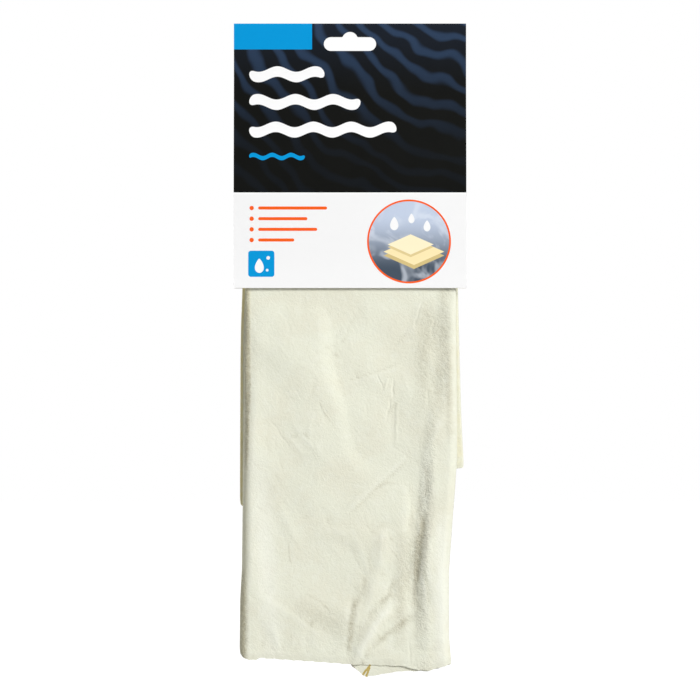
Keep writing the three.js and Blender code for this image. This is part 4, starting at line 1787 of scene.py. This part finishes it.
@dataclass
class FoldedHide:
    """The whole skin, folded in three and over the top: a long leaf and a shorter one behind."""

    flat_width: float = 0.393
    front_flat_length: float = 0.292
    rear_flat_length: float = 0.182
    bend_length: float = 16 * MM

    def front(self) -> Leaf:
        """Describe the long leaf that shows in front."""
        return Leaf(
            name="chamois_front", facing=-1, wraps=True,
            left=((-395, -67.4), (-377.6, -67.4), (-347, -67.1), (-328.8, -66.1), (-291, -65.6),
                  (-157, -63.9)),
            right=((-395, 62.2), (-386, 61.9), (-369, 60.4), (-330, 60.4), (-313.5, 61.6),
                   (-296, 62.8), (-280, 64.1), (-260, 65.4), (-240, 65.4), (-157, 64.7)),
            skin_foot=((-67.4, -379.6), (-65.5, -381.6), (-61.6, -383.6), (-57, -383.2),
                       (-54.9, -382.2), (-6.1, -385.5), (0, -386.1), (33.5, -387.2),
                       (37, -388.8), (47.6, -390.0), (54.9, -388), (61.9, -386.1)),
            near_foot=((-66, -379), (-6, -383.5), (0.0, -386.2), (9.15, -394.0), (19.5, -392.2),
                       (30.5, -390.4), (47.6, -390.3), (61.9, -386.1)),
            far_foot=((-67.4, -379.6), (-45, -378), (-8, -381.5), (26, -378.5), (58, -380.5)),
            creases=FRONT_CREASES, back_creases=FLAP_CREASES, scatter=110, seed=11,
            swell=3.1, run_in=84, right_fade=4.6,
            left_fade=((-395, 5.8), (-330, 6.4), (-268, 5.6), (-225, 8.8), (-157, 8.0)),
            skin_step=0.95, near_step=2.2, far_step=5.2, row_step=1.25,
        )

    def rear(self) -> Leaf:
        """Describe the shorter leaf behind it."""
        return Leaf(
            name="chamois_rear", facing=1, wraps=False,
            left=((-292, -66.4), (-289, -67.4), (-274, -67.4), (-200, -67.1), (-180, -66.8),
                  (-157, -65.9)),
            right=((-292, 70.0), (-266, 69.8), (-237, 68.3), (-195, 67.1), (-157, 66.2)),
            skin_foot=((-67.4, -288.6), (-66.4, -290.6), (-63.5, -291.4), (-24, -284.4),
                       (20, -275.4), (69.8, -266.6)),
            near_foot=((-66, -289), (-20, -281), (25, -273), (69.8, -266.6)),
            far_foot=((-67.4, -288.6), (-20, -279.5), (30, -270), (66, -264.5)),
            creases=REAR_CREASES, back_creases=(), scatter=70, seed=23,
            swell=2.0, run_in=44, right_fade=8, left_fade=((-292, 6.0), (-157, 7.0)),
            skin_step=1.4, near_step=4.2, far_step=4.2, row_step=1.4,
        )

    def build(self) -> list[Piece]:
        """Build both leaves.

        Returns:
            The two pieces.
        """
        suede, raw_edge = ChamoisFinish().make(), RAW_EDGE.make()
        front = self.front().build(suede, raw_edge)
        rear = self.rear().build(suede, raw_edge)
        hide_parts("hide_front_leaf", "hide_gripped_fold")
        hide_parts("hide_rear_leaf")
        for piece, body, joint in ((front, "front_leaf", "front_leaf_bend"),
                                   (rear, "rear_leaf", "rear_leaf_bend")):
            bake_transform(piece)
        return [front, rear]


@dataclass
class Fastenings:
    """Two staples driven from behind, and two glue spots that close the card beside the slot."""

    wire: float = 0.5 * MM
    clinch: float = 4.2 * MM
    round_off: float = 0.11 * MM
    glue_sides: int = 40
    glue_waver: float = 0.03
    glue_lobes: int = 3
    sharp_above: float = 50
    sides: ClassVar[tuple[str, str]] = ("left", "right")

    def staple(self, side: str, finish: Material) -> Piece:
        """Bend one staple from flat wire.

        Args:
            side: Which staple.
            finish: The wire's finish.

        Returns:
            The staple.
        """
        low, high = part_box(f"staple_{side}")
        middle = (low.x + high.x) / 2
        half = (high.x - low.x) / 2
        inner, point = half - self.wire, half - self.clinch
        back, front = high.y, low.y
        bent = front + self.wire
        arm = ((half, back), (half, front), (point, front), (point, bent), (inner, bent),
               (inner, back - self.wire))
        corners = [(-x, y) for x, y in arm] + list(reversed(arm))
        outline = [(middle + x, y, low.z) for x, y in corners]
        form = extruded(outline, (0, 0, high.z - low.z))
        bmesh.ops.bevel(form, geom=list(form.edges), offset=self.round_off, affect="EDGES",
                        segments=3, profile=0.5, material=-1, clamp_overlap=True)
        bmesh.ops.recalc_face_normals(form, faces=form.faces)
        return self.finished(form, f"staple_wire_{side}", f"staple_{side}", finish)

    def glue_spot(self, side: str, finish: Material) -> Piece:
        """Flatten one drop of glue on the rear panel.

        Args:
            side: Which spot.
            finish: The glue's finish.

        Returns:
            The spot.
        """
        low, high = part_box(f"glue_spot_{side}")
        middle = (low + high) / 2
        radius = (high.x - low.x) / 2
        form = bmesh.new()
        bmesh.ops.create_uvsphere(form, u_segments=self.glue_sides,
                                  v_segments=self.glue_sides // 2, radius=1)
        for vertex in form.verts:
            x, y, z = vertex.co
            turn = math.atan2(z, x)
            wave = math.sin(self.glue_lobes * turn + middle.x / MM)
            edge = 1 - self.glue_waver * (1 + wave)
            vertex.co = Vector((x * radius * edge, y * (high.y - low.y), z * radius * edge))
        geometry = [*form.verts, *form.edges, *form.faces]
        cut = bmesh.ops.bisect_plane(form, geom=geometry, plane_co=(0, 0, 0), plane_no=(0, 1, 0),
                                     clear_outer=True)["geom_cut"]
        rim = [item for item in cut if isinstance(item, bmesh.types.BMEdge)]
        bmesh.ops.contextual_create(form, geom=rim)
        bmesh.ops.translate(form, verts=form.verts, vec=(middle.x, high.y, middle.z))
        bmesh.ops.recalc_face_normals(form, faces=form.faces)
        return self.finished(form, f"glue_drop_{side}", f"glue_spot_{side}", finish)

    def finished(self, form: Shape, name: str, node: str, finish: Material) -> Piece:
        """Turn a fastening's form into a piece that stands for its solid.

        Args:
            form: The form, which is used up.
            name: The piece's name.
            node: The solid it stands for.
            finish: Its finish.

        Returns:
            The piece.
        """
        mesh = mesh_of(form, name)
        soften(mesh, self.sharp_above)
        keep_rest(mesh)
        piece = add_piece(name, mesh, (finish,))
        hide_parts(node)
        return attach(piece, "rear_card")

    def build(self) -> list[Piece]:
        """Build all four fastenings.

        Returns:
            The pieces.
        """
        wire, glue = ZINC_WIRE.make(), HOT_MELT.make()
        made = [self.staple(side, wire) for side in self.sides]
        return made + [self.glue_spot(side, glue) for side in self.sides]


@dataclass
class Lamp:
    """A soft square lamp aimed at a point."""

    name: str
    place: Place
    size: float
    power: float

    def light(self, target: Vector) -> None:
        """Hang the lamp.

        Args:
            target: Where it is aimed.
        """
        data = bpy.data.lights.new(self.name, "AREA")
        data.shape = "SQUARE"
        data.size = self.size
        data.energy = self.power
        lamp = show(self.name, data)
        lamp.location = self.place
        lamp.rotation_euler = (target - Vector(self.place)).to_track_quat("-Z", "Y").to_euler()


@dataclass
class Studio:
    """A pale floor, soft light from the upper right, and the photograph's level view."""

    lens: float = 150.0
    sensor: float = 36.0
    view_width: float = 0.427
    view_height: float = -0.1946
    floor_drop: float = 0.05
    floor_size: float = 6.0
    floor_grey: float = 0.6
    floor_glow: float = 1.19
    glow_share: float = 0.84
    surround: float = 0.19
    lamps: tuple[Lamp, ...] = (
        Lamp("key", (2.56, -3.36, 2.28), 1.76, 233.0),
        Lamp("fill", (-1.6, -1.2, 0.1), 1.4, 1.0),
        Lamp("rim", (-0.9, 1.3, 0.6), 1.0, 22.0),
    )

    def camera(self) -> None:
        """Set the camera square on to the card."""
        data = bpy.data.cameras.new("camera")
        data.lens = self.lens
        data.sensor_width = self.sensor
        distance = self.view_width * self.lens / self.sensor
        camera = show("camera", data)
        camera.location = (0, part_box("card_front_panel")[0].y - distance, self.view_height)
        camera.rotation_euler = (math.pi / 2, 0, 0)
        bpy.context.scene.camera = camera

    def world(self) -> None:
        """Light the surroundings softly, and show them white to the camera."""
        shader = Shader("studio", "worlds")
        soft = shader.node("ShaderNodeBackground", (1, 1, 1), self.surround)
        plain = shader.node("ShaderNodeBackground", (1, 1, 1))
        shader.by_camera(1.0, soft, plain, "ShaderNodeOutputWorld")
        bpy.context.scene.world = shader.owner

    def floor(self) -> None:
        """Lay the floor below the hanging hide."""
        form = bmesh.new()
        bmesh.ops.create_grid(form, x_segments=1, y_segments=1, size=self.floor_size / 2)
        height = CAD_BOX[0][2] - self.floor_drop
        bmesh.ops.translate(form, verts=form.verts, vec=(0, 0, height))
        shader = Shader("pale_floor")
        matt = shader.node("ShaderNodeBsdfDiffuse", (self.floor_grey,) * 3)
        glow = shader.node("ShaderNodeEmission", (1, 1, 1), self.floor_glow)
        shader.by_camera(self.glow_share, matt, glow, "ShaderNodeOutputMaterial")
        add_piece("floor", mesh_of(form, "floor"), (shader.owner,))

    def build(self) -> None:
        """Set up the whole studio."""
        self.camera()
        self.world()
        self.floor()
        for lamp in self.lamps:
            lamp.light(Vector((0, 0, self.view_height)))
        bpy.context.scene.view_settings.view_transform = "Standard"


def main() -> None:
    """Build the studio and every piece, and report each."""
    logging.basicConfig(level=logging.INFO, format="%(message)s")
    Studio().build()
    pieces = [HeaderCard().build(), *FoldedHide().build(), *Fastenings().build()]
    for piece in pieces:
        LOG.info("%s: %d faces", piece.name, len(piece.data.polygons))


if __name__ == "__main__":
    main()
